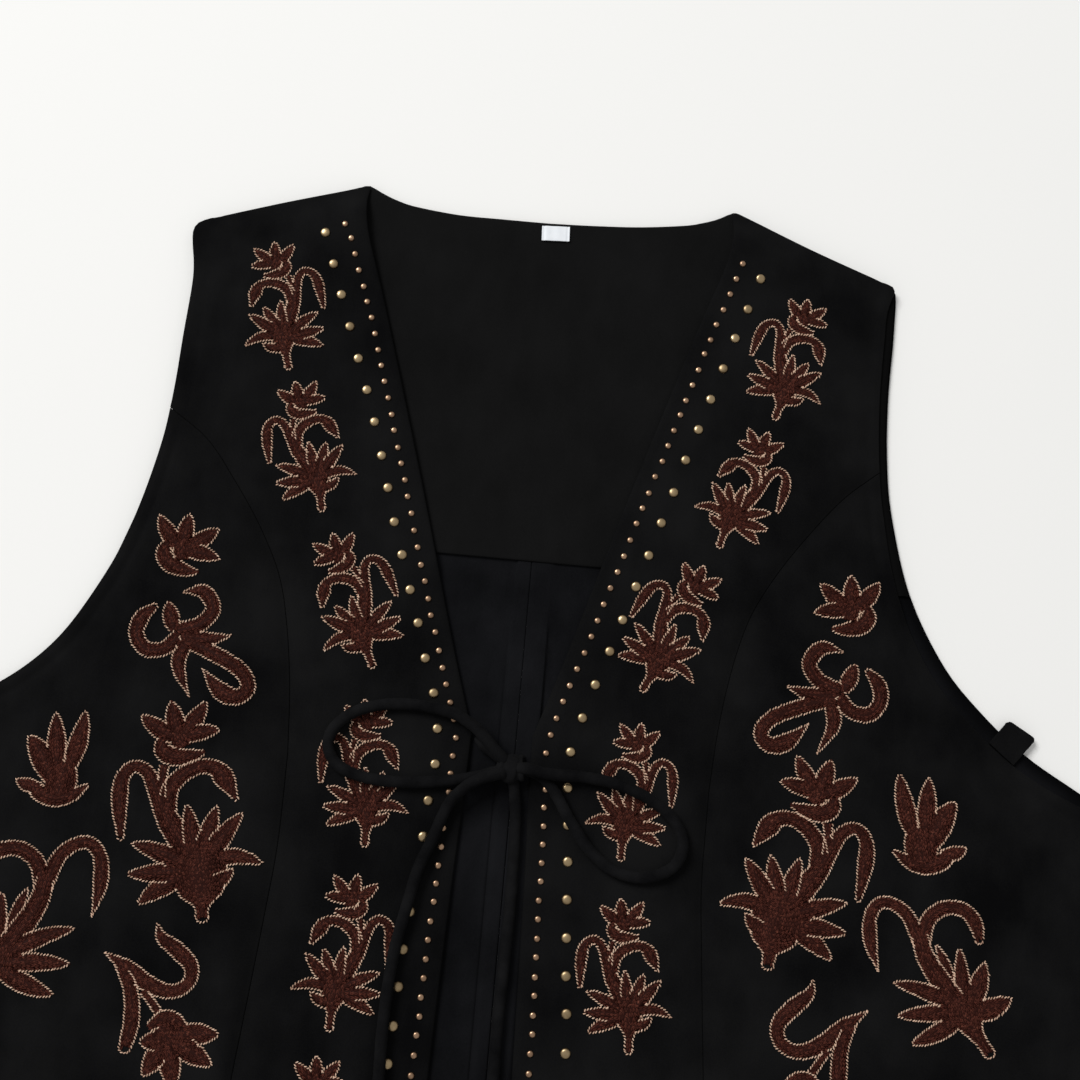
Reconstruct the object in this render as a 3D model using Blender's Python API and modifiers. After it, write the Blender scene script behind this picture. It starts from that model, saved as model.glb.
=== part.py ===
"""A sleeveless embroidered vest laid flat, its fronts tied with a bow.

All sizes are millimetres, measured on the vest as it lies: half is the distance from the centre line,
down the distance below the neck points, and heights are above the surface that it lies on. The part's
origin is the middle of its base, with +Y towards the neck and +X towards the viewer's right.
"""

import math
from collections import namedtuple

import bmesh
import bpy
from mathutils import Matrix, Vector

MM = 0.001
LEFT = -1
RIGHT = 1
MERGE_DISTANCE = 0.00001
SMOOTH_ANGLE = 40.0

# The cloth and the cut
CLOTH = 1.4
FACING_CLOTH = 1.2
SEAM_GAP = 0.3
LENGTH = 530.0
NECK_HALF = 81.0
HEM_HALF = 270.0
UNDERARM_HALF = 262.0
FACING_DEPTH = 161.0
FACING_INSET = 1.2
FACING_NECK_INSET = 0.5
BACK_PANEL_HALF = 120.0

# The rounding of a wall's top and inner edges, and the strips beside an edge
EDGE_ROUND = 0.45
UNDER_ROUND = 0.25
EDGE_STRIP = 0.9
ROLL_STRIP = 4.5

# The seam allowances pressed open beside the centre-back seam
ALLOWANCE_WIDTH = 8.0
ALLOWANCE_RISE = 1.0
ALLOWANCE_SLOPE = 0.7
ALLOWANCE_TOP = 163.0

# How the fronts stand off the back: rolled at closed edges, settled at free ones
ROLL_WIDTH = 13.0
DOME = 1.5
EDGE_SETTLE = 26.0
FREE_EDGE_PUFF = 0.35
HEM_SETTLE = 70.0
HEM_PUFF = 0.4
GROOVE_DEPTH = 1.0
GROOVE_WIDTH = 2.6
NECK_LIFT = 2.6
NECK_LIFT_DOWN = 6.0
NECK_LIFT_REACH = 24.0
FACING_LAP = 2.0
FACING_STEP = 14.0
FOLD_TAPER = 0.5

# How finely the curves and walls are divided
CURVE_STEPS = 12
SEAM_CURVE_STEPS = 4
SEAM_ROWS = 11
SEAM_SHARES = [row / SEAM_ROWS for row in range(1, SEAM_ROWS + 1)]
HEM_RUN = 0.98
HEM_STRIP = 0.997
HEM_SHARES = [HEM_RUN * share for share in SEAM_SHARES] + [HEM_STRIP, 1.0]
TIP_SHARE = 0.015
FRONT_CENTRE_WIDTH = 78.0
FRONT_CENTRE_COLUMNS = 7
FRONT_SIDE_WIDTH = 160.0
FRONT_SIDE_COLUMNS = 11
NECK_EDGE_LENGTH = 85.0
NECK_EDGE_ROWS = 5

# Stretch number and share along it for each row and column of the back and the facing
BACK_COLUMNS = (0.3, 0.5, 0.7, 0.85, 1.0, 1.25, 1.5, 1.75, 1.95, 1.99, 2.0)
BACK_YOKE_ROWS = (0.0, 0.008, 0.06, 0.2, 0.4, 0.6, 0.8, 0.999)
BACK_ARMHOLE_ROWS = (1.004, 1.2, 1.4, 1.6, 1.8, 1.93)
BACK_SIDE_ROWS = (2.0, 2.07, 2.25, 2.5, 2.75, 2.97, 2.995, 3.0)
FACING_COLUMNS = (0.0, 0.012, 0.5, 1.0, 1.2, 1.4, 1.7, 2.0, 2.3, 2.6, 2.8, 3.0, 3.5, 3.988, 4.0)
FACING_ROWS = (0.0, 0.007, 0.2, 0.4, 0.6, 0.8, 0.993, 1.0)

CORD_DIAMETER = 4.2
CORD_SPACING = 9.5

Station = namedtuple("Station", "half down")
Point = namedtuple("Point", "x down z")
Fold = namedtuple("Fold", "side top_half top_down low_half low_down width height")

NECK_CURVE = (
    Station(0.0, 11.4),
    Station(20.0, 11.3),
    Station(40.0, 10.4),
    Station(60.0, 7.4),
    Station(73.0, 3.6),
    Station(NECK_HALF, 0.0),
)
SHOULDER = (
    Station(NECK_HALF, 0.0),
    Station(118.0, 13.2),
    Station(152.0, 25.6),
)
ARMHOLE = {
    LEFT: (
        Station(152.0, 25.6),
        Station(155.2, 31.0),
        Station(153.6, 50.0),
        Station(152.5, 76.0),
        Station(152.7, 103.0),
        Station(154.8, 128.0),
        Station(161.5, 162.0),
        Station(172.8, 191.3),
        Station(186.3, 213.5),
        Station(205.9, 232.6),
        Station(230.0, 245.0),
        Station(UNDERARM_HALF, 253.0),
    ),
    RIGHT: (
        Station(152.0, 25.6),
        Station(154.0, 31.0),
        Station(150.8, 50.0),
        Station(148.8, 76.0),
        Station(149.4, 103.0),
        Station(152.0, 128.0),
        Station(160.5, 162.0),
        Station(176.0, 191.5),
        Station(193.0, 211.5),
        Station(213.0, 228.5),
        Station(236.0, 241.5),
        Station(UNDERARM_HALF, 250.0),
    ),
}
PRINCESS_TOP = 107.5
PRINCESS_UPPER = (
    Station(136.0, 122.0),
    Station(122.0, 139.0),
    Station(109.2, 157.4),
    Station(99.5, 175.8),
    Station(93.6, 196.0),
    Station(89.0, 222.5),
    Station(86.5, 250.0),
)
PRINCESS_LOWER = (
    Station(86.5, 250.0),
    Station(86.1, 286.0),
    Station(88.0, 315.0),
    Station(91.2, 355.0),
    Station(98.0, 440.0),
    Station(106.0, LENGTH),
)
NECK_EDGE = (
    Station(NECK_HALF, 0.0),
    Station(80.8, 9.0),
    Station(78.3, 24.0),
    Station(69.5, 50.0),
    Station(58.3, 85.0),
)
V_EDGE = (
    Station(58.3, 85.0),
    Station(41.2, 140.3),
    Station(24.0, 198.2),
    Station(12.4, 234.3),
)
FRONT_EDGE = (
    Station(12.4, 234.3),
    Station(13.1, 260.0),
    Station(14.6, 300.0),
    Station(16.4, 368.0),
    Station(18.0, 450.0),
    Station(20.0, LENGTH),
)
CENTRE_BACK_NECK = 2.6
CENTRE_BACK_FACING = 5.7
CENTRE_BACK_LOW = 7.0
REVEAL = {LEFT: -2.0, RIGHT: 4.5}
REVEAL_START = 0.12
REVEAL_END = 0.80

FOLDS = (
    Fold(LEFT, 126, 150, 104, 262, 9, 1.7),
    Fold(LEFT, 100, 262, 97, 400, 8, 1.4),
    Fold(LEFT, 74, 190, 70, 330, 13, 0.9),
    Fold(LEFT, 148, 210, 128, 330, 17, 1.6),
    Fold(LEFT, 190, 262, 172, 420, 22, 1.8),
    Fold(LEFT, 46, 262, 40, 430, 11, 1.4),
    Fold(LEFT, 128, 46, 116, 128, 18, 1.3),
    Fold(LEFT, 225, 300, 236, 470, 20, 1.4),
    Fold(RIGHT, 131, 142, 105, 240, 9, 1.6),
    Fold(RIGHT, 99, 246, 96, 420, 8, 1.3),
    Fold(RIGHT, 76, 200, 66, 320, 13, 1.0),
    Fold(RIGHT, 160, 172, 122, 300, 15, 1.9),
    Fold(RIGHT, 205, 246, 160, 356, 18, 2.0),
    Fold(RIGHT, 52, 300, 48, 470, 12, 1.0),
    Fold(RIGHT, 126, 52, 108, 122, 17, 1.2),
    Fold(RIGHT, 232, 290, 214, 450, 20, 1.6),
)

LABEL_SIZE = (12.2, 6.8, 1.0)
LABEL_EDGE = 0.25
LABEL_X = 2.3
LABEL_DOWN = 15.5
LABEL_TURN = 3.0

TAB_HALF = 209.6
TAB_WIDTH = 13.0
TAB_IN = 3.5
TAB_OUT = 6.6
TAB_PLY = 1.0
TAB_SLIT = 0.5
TAB_SLIT_ROUND = 0.2
TAB_BEND_STEPS = 8

KNOT_CENTRE = Point(4.8, 246.6, 7.4)
KNOT_HALF_WIDTH = 4.4
KNOT_WAIST = 3.4
KNOT_BULGE = 4.6
KNOT_BAND = 2.2
KNOT_STEPS = 14
KNOT_SIDES = 16

TIE_STUB_LEFT = (
    Point(-11.0, 236.6, 3.9),
    Point(-7.4, 238.8, 4.0),
    Point(-3.6, 241.3, 4.4),
    Point(-0.6, 243.4, 4.8),
)
TIE_STUB_RIGHT = (
    Point(11.2, 239.2, 4.8),
    Point(9.3, 241.9, 4.9),
)
BOW_LOOP_LEFT = (
    Point(-1.4, 241.4, 9.0),
    Point(-7.0, 235.8, 8.6),
    Point(-13.5, 230.8, 8.0),
    Point(-22.0, 227.2, 7.5),
    Point(-36.0, 225.4, 7.4),
    Point(-50.0, 226.6, 7.6),
    Point(-61.0, 230.6, 8.0),
    Point(-68.4, 237.6, 8.3),
    Point(-69.8, 245.6, 8.3),
    Point(-64.4, 252.8, 8.2),
    Point(-53.0, 256.4, 8.1),
    Point(-38.0, 256.8, 8.0),
    Point(-25.0, 255.4, 7.3),
    Point(-15.5, 253.8, 6.6),
    Point(-8.4, 251.8, 6.4),
    Point(-2.2, 249.6, 6.3),
)
BOW_LOOP_RIGHT = (
    Point(11.6, 247.0, 10.5),
    Point(17.0, 248.0, 10.6),
    Point(24.0, 248.4, 9.6),
    Point(36.0, 248.4, 7.6),
    Point(50.0, 250.4, 7.7),
    Point(62.5, 255.0, 8.2),
    Point(72.5, 262.4, 8.5),
    Point(76.8, 271.6, 8.4),
    Point(73.4, 280.6, 8.5),
    Point(62.8, 285.6, 8.5),
    Point(50.6, 284.4, 8.0),
    Point(39.4, 277.0, 7.5),
    Point(30.2, 265.4, 7.3),
    Point(23.2, 255.0, 6.6),
    Point(17.4, 249.6, 6.2),
    Point(11.4, 247.6, 6.0),
)
TIE_TAIL_LEFT = (
    Point(-1.4, 250.6, 10.9),
    Point(-7.4, 252.8, 11.0),
    Point(-13.4, 257.0, 9.8),
    Point(-19.2, 264.4, 8.0),
    Point(-25.2, 276.8, 7.6),
    Point(-29.8, 290.0, 7.9),
    Point(-32.4, 304.6, 8.2),
    Point(-34.4, 320.0, 8.2),
    Point(-35.6, 336.0, 8.2),
    Point(-35.9, 354.0, 8.2),
    Point(-35.4, 374.0, 8.2),
    Point(-36.2, 394.0, 8.3),
    Point(-38.6, 414.0, 8.2),
    Point(-40.4, 432.0, 7.9),
    Point(-40.2, 448.0, 7.5),
)
TIE_TAIL_RIGHT = (
    Point(6.2, 252.0, 5.4),
    Point(7.4, 258.0, 4.9),
    Point(8.6, 268.0, 4.8),
    Point(9.3, 286.0, 4.8),
    Point(9.6, 306.0, 4.8),
    Point(9.2, 325.0, 4.8),
    Point(8.8, 345.0, 4.8),
    Point(9.0, 368.0, 4.8),
    Point(8.0, 392.0, 4.8),
    Point(6.0, 414.0, 4.8),
    Point(5.4, 434.0, 4.8),
    Point(6.2, 454.0, 4.8),
)


def ease(value):
    """Rises smoothly from 0 to 1 as the value does, and stays there outside."""
    held = min(1.0, max(0.0, value))
    return held * held * (3.0 - 2.0 * held)


def blend(start, end, share):
    return start + (end - start) * share


def catmull(points, share, segment):
    """The point on the smooth curve through the points, a share of the way along one segment."""
    before = points[segment - 1] if segment > 0 else 2 * points[0] - points[1]
    start, end = points[segment], points[segment + 1]
    after = points[segment + 2] if segment + 2 < len(points) else 2 * points[-1] - points[-2]
    rise = end - before
    fall = after - start
    square, cube = share * share, share ** 3
    return (
        start * (2 * cube - 3 * square + 1)
        + rise * (0.5 * (cube - 2 * square + share))
        + end * (3 * square - 2 * cube)
        + fall * (0.5 * (cube - square))
    )


def smooth_line(points, steps=CURVE_STEPS):
    """Many points along the smooth curve through a few."""
    line = []
    for segment in range(len(points) - 1):
        for step in range(steps):
            line.append(catmull(points, step / steps, segment))
    line.append(points[-1].copy())
    return line


class Rail:
    """A boundary made of smooth stretches, read by stretch number and share along it."""

    def __init__(self, *stretches):
        self.lines = [smooth_line([Vector(point) for point in stretch]) for stretch in stretches]
        self.lengths = [self.measure(line) for line in self.lines]

    @staticmethod
    def measure(line):
        total = [0.0]
        for start, end in zip(line, line[1:]):
            total.append(total[-1] + (end - start).length)
        return total

    def at(self, station):
        number = min(int(station), len(self.lines) - 1)
        line, total = self.lines[number], self.lengths[number]
        goal = (station - number) * total[-1]
        for index in range(1, len(line)):
            if total[index] >= goal or index == len(line) - 1:
                part = (goal - total[index - 1]) / (total[index] - total[index - 1])
                return line[index - 1].lerp(line[index], part)


def shifted(points, distance):
    """The points moved sideways in plan, to the left of their direction of travel if positive."""
    moved = []
    for index, point in enumerate(points):
        ahead = points[min(index + 1, len(points) - 1)]
        behind = points[max(index - 1, 0)]
        travel = (ahead - behind).normalized()
        moved.append(point + distance * Vector((-travel.y, travel.x)))
    return moved


def plan(side, stations):
    """A table's stations as plan points, x to the right and y as the distance down."""
    return [Vector((side * station.half, station.down)) for station in stations]


def armhole_line(side):
    return smooth_line(plan(side, ARMHOLE[side]))


def split_at_down(line, down):
    """Cuts a line that runs downwards in two at a distance down."""
    for index, point in enumerate(line):
        if point.y >= down:
            return line[: index + 1], line[index:]
    raise ValueError("the line ends above that")


def side_seam(side):
    underarm = ARMHOLE[side][-1]
    return [Vector((side * underarm.half, underarm.down)), Vector((side * HEM_HALF, LENGTH))]


def princess_line(side):
    """The seam's upper and lower stretches, the upper one from its start on the armhole."""
    start = split_at_down(armhole_line(side), PRINCESS_TOP)[0][-1]
    return [start] + plan(side, PRINCESS_UPPER), plan(side, PRINCESS_LOWER)


def centre_back(down):
    """How far the centre-back seam lies to the right of the vest's middle."""
    if down < FACING_DEPTH:
        return blend(CENTRE_BACK_NECK, CENTRE_BACK_FACING, down / FACING_DEPTH)
    return blend(CENTRE_BACK_FACING, CENTRE_BACK_LOW, (down - FACING_DEPTH) / (LENGTH - FACING_DEPTH))


def back_armhole(side):
    """The back's armhole, which shows past the front's on the right and hides behind it on the left."""
    line = armhole_line(side)
    moved = []
    for index, point in enumerate(line):
        share = index / (len(line) - 1)
        reach = ease(share / REVEAL_START) * (1.0 - ease((share - REVEAL_END) / (1.0 - REVEAL_END)))
        travel = (line[min(index + 1, len(line) - 1)] - line[max(index - 1, 0)]).normalized()
        outward = Vector((travel.y, -travel.x)) * side
        moved.append(point + REVEAL[side] * reach * outward)
    return moved


def distance_to(line, point):
    """The distance in plan from a point to a line of points."""
    nearest = math.inf
    for start, end in zip(line, line[1:]):
        span = end - start
        share = min(1.0, max(0.0, (point - start).dot(span) / max(span.length_squared, 1e-9)))
        nearest = min(nearest, (point - start - span * share).length)
    return nearest


class FrontHeights:
    """The height of one side's fronts: rolled at the closed edges, soft and lightly folded between."""

    def __init__(self, side):
        self.side = side
        upper, lower = princess_line(side)
        self.seam = smooth_line(upper, SEAM_CURVE_STEPS) + smooth_line(lower, SEAM_CURVE_STEPS)
        armhole = smooth_line(plan(side, ARMHOLE[side]), SEAM_CURVE_STEPS - 1)
        self.closed = plan(side, SHOULDER) + armhole + side_seam(side)
        self.free = plan(side, NECK_EDGE) + plan(side, V_EDGE) + plan(side, FRONT_EDGE)
        self.folds = [fold for fold in FOLDS if fold.side == side]

    def under(self, point):
        """The height of the inner face at a plan point."""
        base = CLOTH + SEAM_GAP
        past_facing = ease((point.y - FACING_DEPTH - FACING_LAP) / FACING_STEP)
        base += (FACING_CLOTH + SEAM_GAP) * (1.0 - past_facing)
        roll = ease(distance_to(self.closed, point) / ROLL_WIDTH)
        settle = blend(FREE_EDGE_PUFF, 1.0, ease(distance_to(self.free, point) / EDGE_SETTLE))
        hem = blend(HEM_PUFF, 1.0, ease((LENGTH - point.y) / HEM_SETTLE))
        puff = (DOME + sum(self.ridge(fold, point) for fold in self.folds)) * settle * hem
        groove = GROOVE_DEPTH * math.exp(-((distance_to(self.seam, point) / GROOVE_WIDTH) ** 2))
        neck = Vector((self.side * NECK_HALF, NECK_LIFT_DOWN))
        lift = NECK_LIFT * math.exp(-(((point - neck).length / NECK_LIFT_REACH) ** 2))
        return base + roll * (puff + lift - groove)

    def upper(self, point):
        """The height of the outer face at a plan point."""
        return self.under(point) + CLOTH

    @staticmethod
    def ridge(fold, point):
        """How high one soft fold stands at a plan point, fading out past both its ends."""
        top = Vector((fold.side * fold.top_half, fold.top_down))
        low = Vector((fold.side * fold.low_half, fold.low_down))
        span = low - top
        along = (point - top).dot(span) / span.length_squared
        aside = (point - top - span * along).length
        rise = ease(along / FOLD_TAPER + 0.5)
        fall = ease((1.0 - along) / FOLD_TAPER + 0.5)
        return fold.height * rise * fall * math.exp(-((aside / fold.width) ** 2))


def place(x, down, z):
    """A measured point in the part's frame, in metres."""
    return Vector((x * MM, (LENGTH / 2 - down) * MM, z * MM))


def make_material(name, color, roughness):
    material = bpy.data.materials.new(name)
    material.use_nodes = True
    shader = material.node_tree.nodes["Principled BSDF"]
    shader.inputs["Base Color"].default_value = (*color, 1.0)
    shader.inputs["Roughness"].default_value = roughness
    shader.inputs["Metallic"].default_value = 0.0
    material.diffuse_color = (*color, 1.0)
    return material


def add_object(name, data, material, parts):
    piece = bpy.data.objects.new(name, data)
    data.materials.append(material)
    parts.objects.link(piece)
    return piece


def stations(strip, roll, length, count):
    """Shares along a stretch with two close steps at the start and even ones after."""
    first, second = strip / length, roll / length
    return [0.0, first] + [blend(second, 1.0, step / count) for step in range(count + 1)]


def both_ends(strip, roll, length, count):
    """Shares along a stretch with two close steps at each end and even ones between."""
    first, second = strip / length, roll / length
    middle = [blend(second, 1.0 - second, step / count) for step in range(count + 1)]
    return [0.0, first] + middle + [1.0 - first, 1.0]


def patch(top, bottom, left, right, across, along):
    """Rows of plan points over four rails, blended so that each edge follows its own rail."""
    stretches_across = len(top.lines)
    corner = {
        "top_left": top.at(0.0),
        "top_right": top.at(float(stretches_across)),
        "low_left": bottom.at(0.0),
        "low_right": bottom.at(float(stretches_across)),
    }
    rows = []
    for station in along:
        v = (station - along[0]) / (along[-1] - along[0])
        row = []
        for place_across in across:
            u = place_across / stretches_across
            ends = left.at(station).lerp(right.at(station), u)
            levels = top.at(place_across).lerp(bottom.at(place_across), v)
            high = corner["top_left"].lerp(corner["top_right"], u)
            low = corner["low_left"].lerp(corner["low_right"], u)
            row.append(ends + levels - high.lerp(low, v))
        rows.append(row)
    return rows


def build_panel(name, rows, under, upper, under_round, material, parts):
    """A wall of cloth over rows of plan points, with its top edge rounded all round."""
    last_row, last_column = len(rows) - 1, len(rows[0]) - 1

    def key_of(vertex):
        row = round((vertex.co.y + 1.0) / 2.0 * last_row)
        return row, round((vertex.co.x + 1.0) / 2.0 * last_column)

    mesh = bmesh.new()
    bmesh.ops.create_grid(mesh, x_segments=last_column, y_segments=last_row, size=1.0)
    lowered = {key_of(vertex): vertex for vertex in mesh.verts}
    bmesh.ops.extrude_face_region(mesh, geom=mesh.faces[:])
    lower_face = set(lowered.values())
    raised = {key_of(vertex): vertex for vertex in mesh.verts if vertex not in lower_face}
    for (row, column), vertex in lowered.items():
        point = rows[row][column]
        on_edge = row in (0, last_row) or column in (0, last_column)
        vertex.co = place(point.x, point.y, under(point) + (under_round if on_edge else 0.0))
        top = upper(point) - (EDGE_ROUND if on_edge else 0.0)
        raised[(row, column)].co = place(point.x, point.y, top)
    bmesh.ops.recalc_face_normals(mesh, faces=mesh.faces[:])
    data = bpy.data.meshes.new(name)
    mesh.to_mesh(data)
    mesh.free()
    data.shade_smooth()
    data.set_sharp_from_angle(angle=math.radians(SMOOTH_ANGLE))
    return add_object(name, data, material, parts)


def build_back(side, material, parts):
    """One half of the back, flat below, with its seam allowance folded back beside the centre seam."""
    word = "left" if side == LEFT else "right"
    reach = side * SEAM_GAP / 2

    def seam(down):
        return Vector((centre_back(down) + reach, down))

    top = Rail([seam(NECK_CURVE[0].down)] + plan(side, NECK_CURVE[1:]), plan(side, SHOULDER))
    middle = Vector((side * BACK_PANEL_HALF, LENGTH))
    bottom = Rail([seam(LENGTH), middle], [middle, Vector((side * HEM_HALF, LENGTH))])
    level = ARMHOLE[side][-1].down
    inner = Rail(
        [seam(NECK_CURVE[0].down), seam(ALLOWANCE_TOP)],
        [seam(ALLOWANCE_TOP), seam(level)],
        [seam(level), seam(LENGTH)],
    )
    upper_armhole, lower_armhole = split_at_down(back_armhole(side), ALLOWANCE_TOP)
    outer = Rail(upper_armhole, lower_armhole, side_seam(side))
    width = (NECK_HALF + BACK_PANEL_HALF) / 2
    strips = (0.0, EDGE_STRIP, ALLOWANCE_WIDTH, ALLOWANCE_WIDTH + ALLOWANCE_SLOPE)
    across = [strip / width for strip in strips] + list(BACK_COLUMNS)
    rows = patch(top, bottom, inner, outer, across, BACK_YOKE_ROWS + BACK_ARMHOLE_ROWS + BACK_SIDE_ROWS)

    def upper(point):
        aside = side * (point.x - centre_back(point.y))
        folded = aside < ALLOWANCE_WIDTH + ALLOWANCE_SLOPE / 3 and point.y > ALLOWANCE_TOP
        return CLOTH + (ALLOWANCE_RISE if folded else 0.0)

    def under(point):
        return 0.0

    return build_panel(f"back_{word}", rows, under, upper, 0.0, material, parts)


def build_facing(material, parts):
    """The deep facing over the back's upper inside, its lower edge straight across."""
    neck = {side: plan(side, NECK_CURVE[1:]) for side in (LEFT, RIGHT)}
    inset = Vector((0.0, FACING_INSET))
    neck_inset = Vector((0.0, FACING_NECK_INSET))
    middle = Vector((0.0, NECK_CURVE[0].down)) + neck_inset
    shoulder = {side: [point + inset for point in plan(side, SHOULDER)] for side in (LEFT, RIGHT)}
    armhole = {}
    for side in (LEFT, RIGHT):
        line = split_at_down(back_armhole(side), FACING_DEPTH)[0]
        line[-1] = Vector((line[-1].x, FACING_DEPTH))
        moved = shifted(line, side * FACING_INSET)
        moved[0] = shoulder[side][-1] - Vector((side * FACING_INSET, 0.0))
        moved[-1] = Vector((moved[-1].x, FACING_DEPTH))
        armhole[side] = moved
        shoulder[side][-1] = moved[0]
        neck[side] = [point + neck_inset for point in neck[side][:-1]] + [shoulder[side][0]]
    top = Rail(
        shoulder[LEFT][::-1],
        neck[LEFT][::-1] + [middle],
        [middle] + neck[RIGHT],
        shoulder[RIGHT],
    )
    low = [Vector((share * NECK_HALF, FACING_DEPTH)) for share in (-1.0, 0.0, 1.0)]
    bottom = Rail(
        [armhole[LEFT][-1], low[0]],
        [low[0], low[1]],
        [low[1], low[2]],
        [low[2], armhole[RIGHT][-1]],
    )
    left, right = Rail(armhole[LEFT]), Rail(armhole[RIGHT])
    rows = patch(top, bottom, left, right, FACING_COLUMNS, FACING_ROWS)
    base = CLOTH + SEAM_GAP

    def under(point):
        return base

    def upper(point):
        return base + FACING_CLOTH

    return build_panel("back_neck_facing", rows, under, upper, 0.0, material, parts)


def build_front_centre(side, heights, material, parts):
    """The front between the V neck, the front edge, the armhole's top and the princess seam."""
    word = "left" if side == LEFT else "right"
    upper_armhole = split_at_down(armhole_line(side), PRINCESS_TOP)[0]
    seam_upper, seam_lower = (
        shifted(smooth_line(points), side * SEAM_GAP / 2) for points in princess_line(side)
    )
    seam_lower[0] = seam_upper[-1]
    upper_armhole = upper_armhole[:-1] + [seam_upper[0]]
    inner = Rail(plan(side, NECK_EDGE), plan(side, V_EDGE), plan(side, FRONT_EDGE))
    outer = Rail(upper_armhole, seam_upper, seam_lower)
    top = Rail(plan(side, SHOULDER))
    bottom = Rail([inner.at(3.0), outer.at(3.0)])
    across = both_ends(EDGE_STRIP, ROLL_STRIP, FRONT_CENTRE_WIDTH, FRONT_CENTRE_COLUMNS)
    along = stations(EDGE_STRIP, ROLL_STRIP, NECK_EDGE_LENGTH, NECK_EDGE_ROWS)
    along += [1.0 + share for share in SEAM_SHARES] + [2.0 + share for share in HEM_SHARES]
    rows = patch(top, bottom, inner, outer, across, along)
    return build_panel(
        f"front_centre_{word}", rows, heights.under, heights.upper, UNDER_ROUND, material, parts
    )


def build_front_side(side, heights, material, parts):
    """The side front between the princess seam, the armhole and the side seam."""
    word = "left" if side == LEFT else "right"
    lower_armhole = split_at_down(armhole_line(side), PRINCESS_TOP)[1]
    seam_upper, seam_lower = (
        shifted(smooth_line(points), -side * SEAM_GAP / 2) for points in princess_line(side)
    )
    seam_lower[0] = seam_upper[-1]
    inner = Rail(seam_upper, seam_lower)
    outer = Rail(lower_armhole, side_seam(side))
    top = Rail([inner.at(TIP_SHARE), outer.at(TIP_SHARE)])
    bottom = Rail([inner.at(2.0), outer.at(2.0)])
    across = both_ends(EDGE_STRIP, ROLL_STRIP, FRONT_SIDE_WIDTH, FRONT_SIDE_COLUMNS)
    along = [TIP_SHARE] + SEAM_SHARES + [1.0 + share for share in HEM_SHARES]
    rows = patch(top, bottom, inner, outer, across, along)
    return build_panel(
        f"front_side_{word}", rows, heights.under, heights.upper, UNDER_ROUND, material, parts
    )


def build_label(material, parts):
    """The small bare label, sewn on at the back neck."""
    mesh = bmesh.new()
    bmesh.ops.create_cube(mesh, size=1.0)
    bmesh.ops.scale(mesh, verts=mesh.verts, vec=Vector(LABEL_SIZE) * MM)
    bmesh.ops.bevel(
        mesh, geom=mesh.edges[:], offset=LABEL_EDGE * MM, segments=1, affect="EDGES", clamp_overlap=True
    )
    height = CLOTH + FACING_CLOTH + 2 * SEAM_GAP + LABEL_SIZE[2] / 2
    turn = Matrix.Rotation(math.radians(LABEL_TURN), 4, "Z")
    bmesh.ops.transform(
        mesh, matrix=Matrix.Translation(place(LABEL_X, LABEL_DOWN, height)) @ turn, verts=mesh.verts
    )
    data = bpy.data.meshes.new("size_label")
    mesh.to_mesh(data)
    mesh.free()
    return add_object("size_label", data, material, parts)


def build_hanger_loop(material, parts):
    """A narrow strap folded in two, which stands out at the right armhole."""
    bend = TAB_PLY + TAB_SLIT / 2
    outline = [(-TAB_IN, 0.0)]
    for step in range(TAB_BEND_STEPS + 1):
        turn = math.pi * (step / TAB_BEND_STEPS - 0.5)
        outline.append((TAB_OUT - bend + bend * math.cos(turn), bend + bend * math.sin(turn)))
    slit_end = TAB_OUT - bend
    slit_run = slit_end - TAB_SLIT_ROUND
    outline += [(-TAB_IN, 2 * bend), (-TAB_IN, TAB_PLY + TAB_SLIT), (slit_run, TAB_PLY + TAB_SLIT)]
    outline += [(slit_end, bend), (slit_run, TAB_PLY), (-TAB_IN, TAB_PLY)]
    curve = bpy.data.curves.new("hanger_loop", "CURVE")
    curve.dimensions = "2D"
    curve.fill_mode = "BOTH"
    curve.extrude = TAB_WIDTH / 2 * MM
    spline = curve.splines.new("POLY")
    spline.points.add(len(outline) - 1)
    for point, (along, up) in zip(spline.points, outline):
        point.co = (along * MM, up * MM, 0.0, 1.0)
    spline.use_cyclic_u = True
    piece = add_object("hanger_loop", curve, material, parts)
    edge = back_armhole(RIGHT)
    low = (number for number, point in enumerate(edge) if point.y > PRINCESS_TOP and point.x > TAB_HALF)
    index = next(low)
    travel = edge[index + 1] - edge[index - 1]
    turn = Matrix.Rotation(math.atan2(travel.x, travel.y), 4, "Z")
    upright = Matrix.Rotation(math.pi / 2, 4, "X")
    seat = Matrix.Translation(place(edge[index].x, edge[index].y, CLOTH + SEAM_GAP))
    piece.matrix_world = seat @ turn @ upright
    weld = piece.modifiers.new("close the caps", "WELD")
    weld.merge_threshold = MERGE_DISTANCE
    return piece


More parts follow.
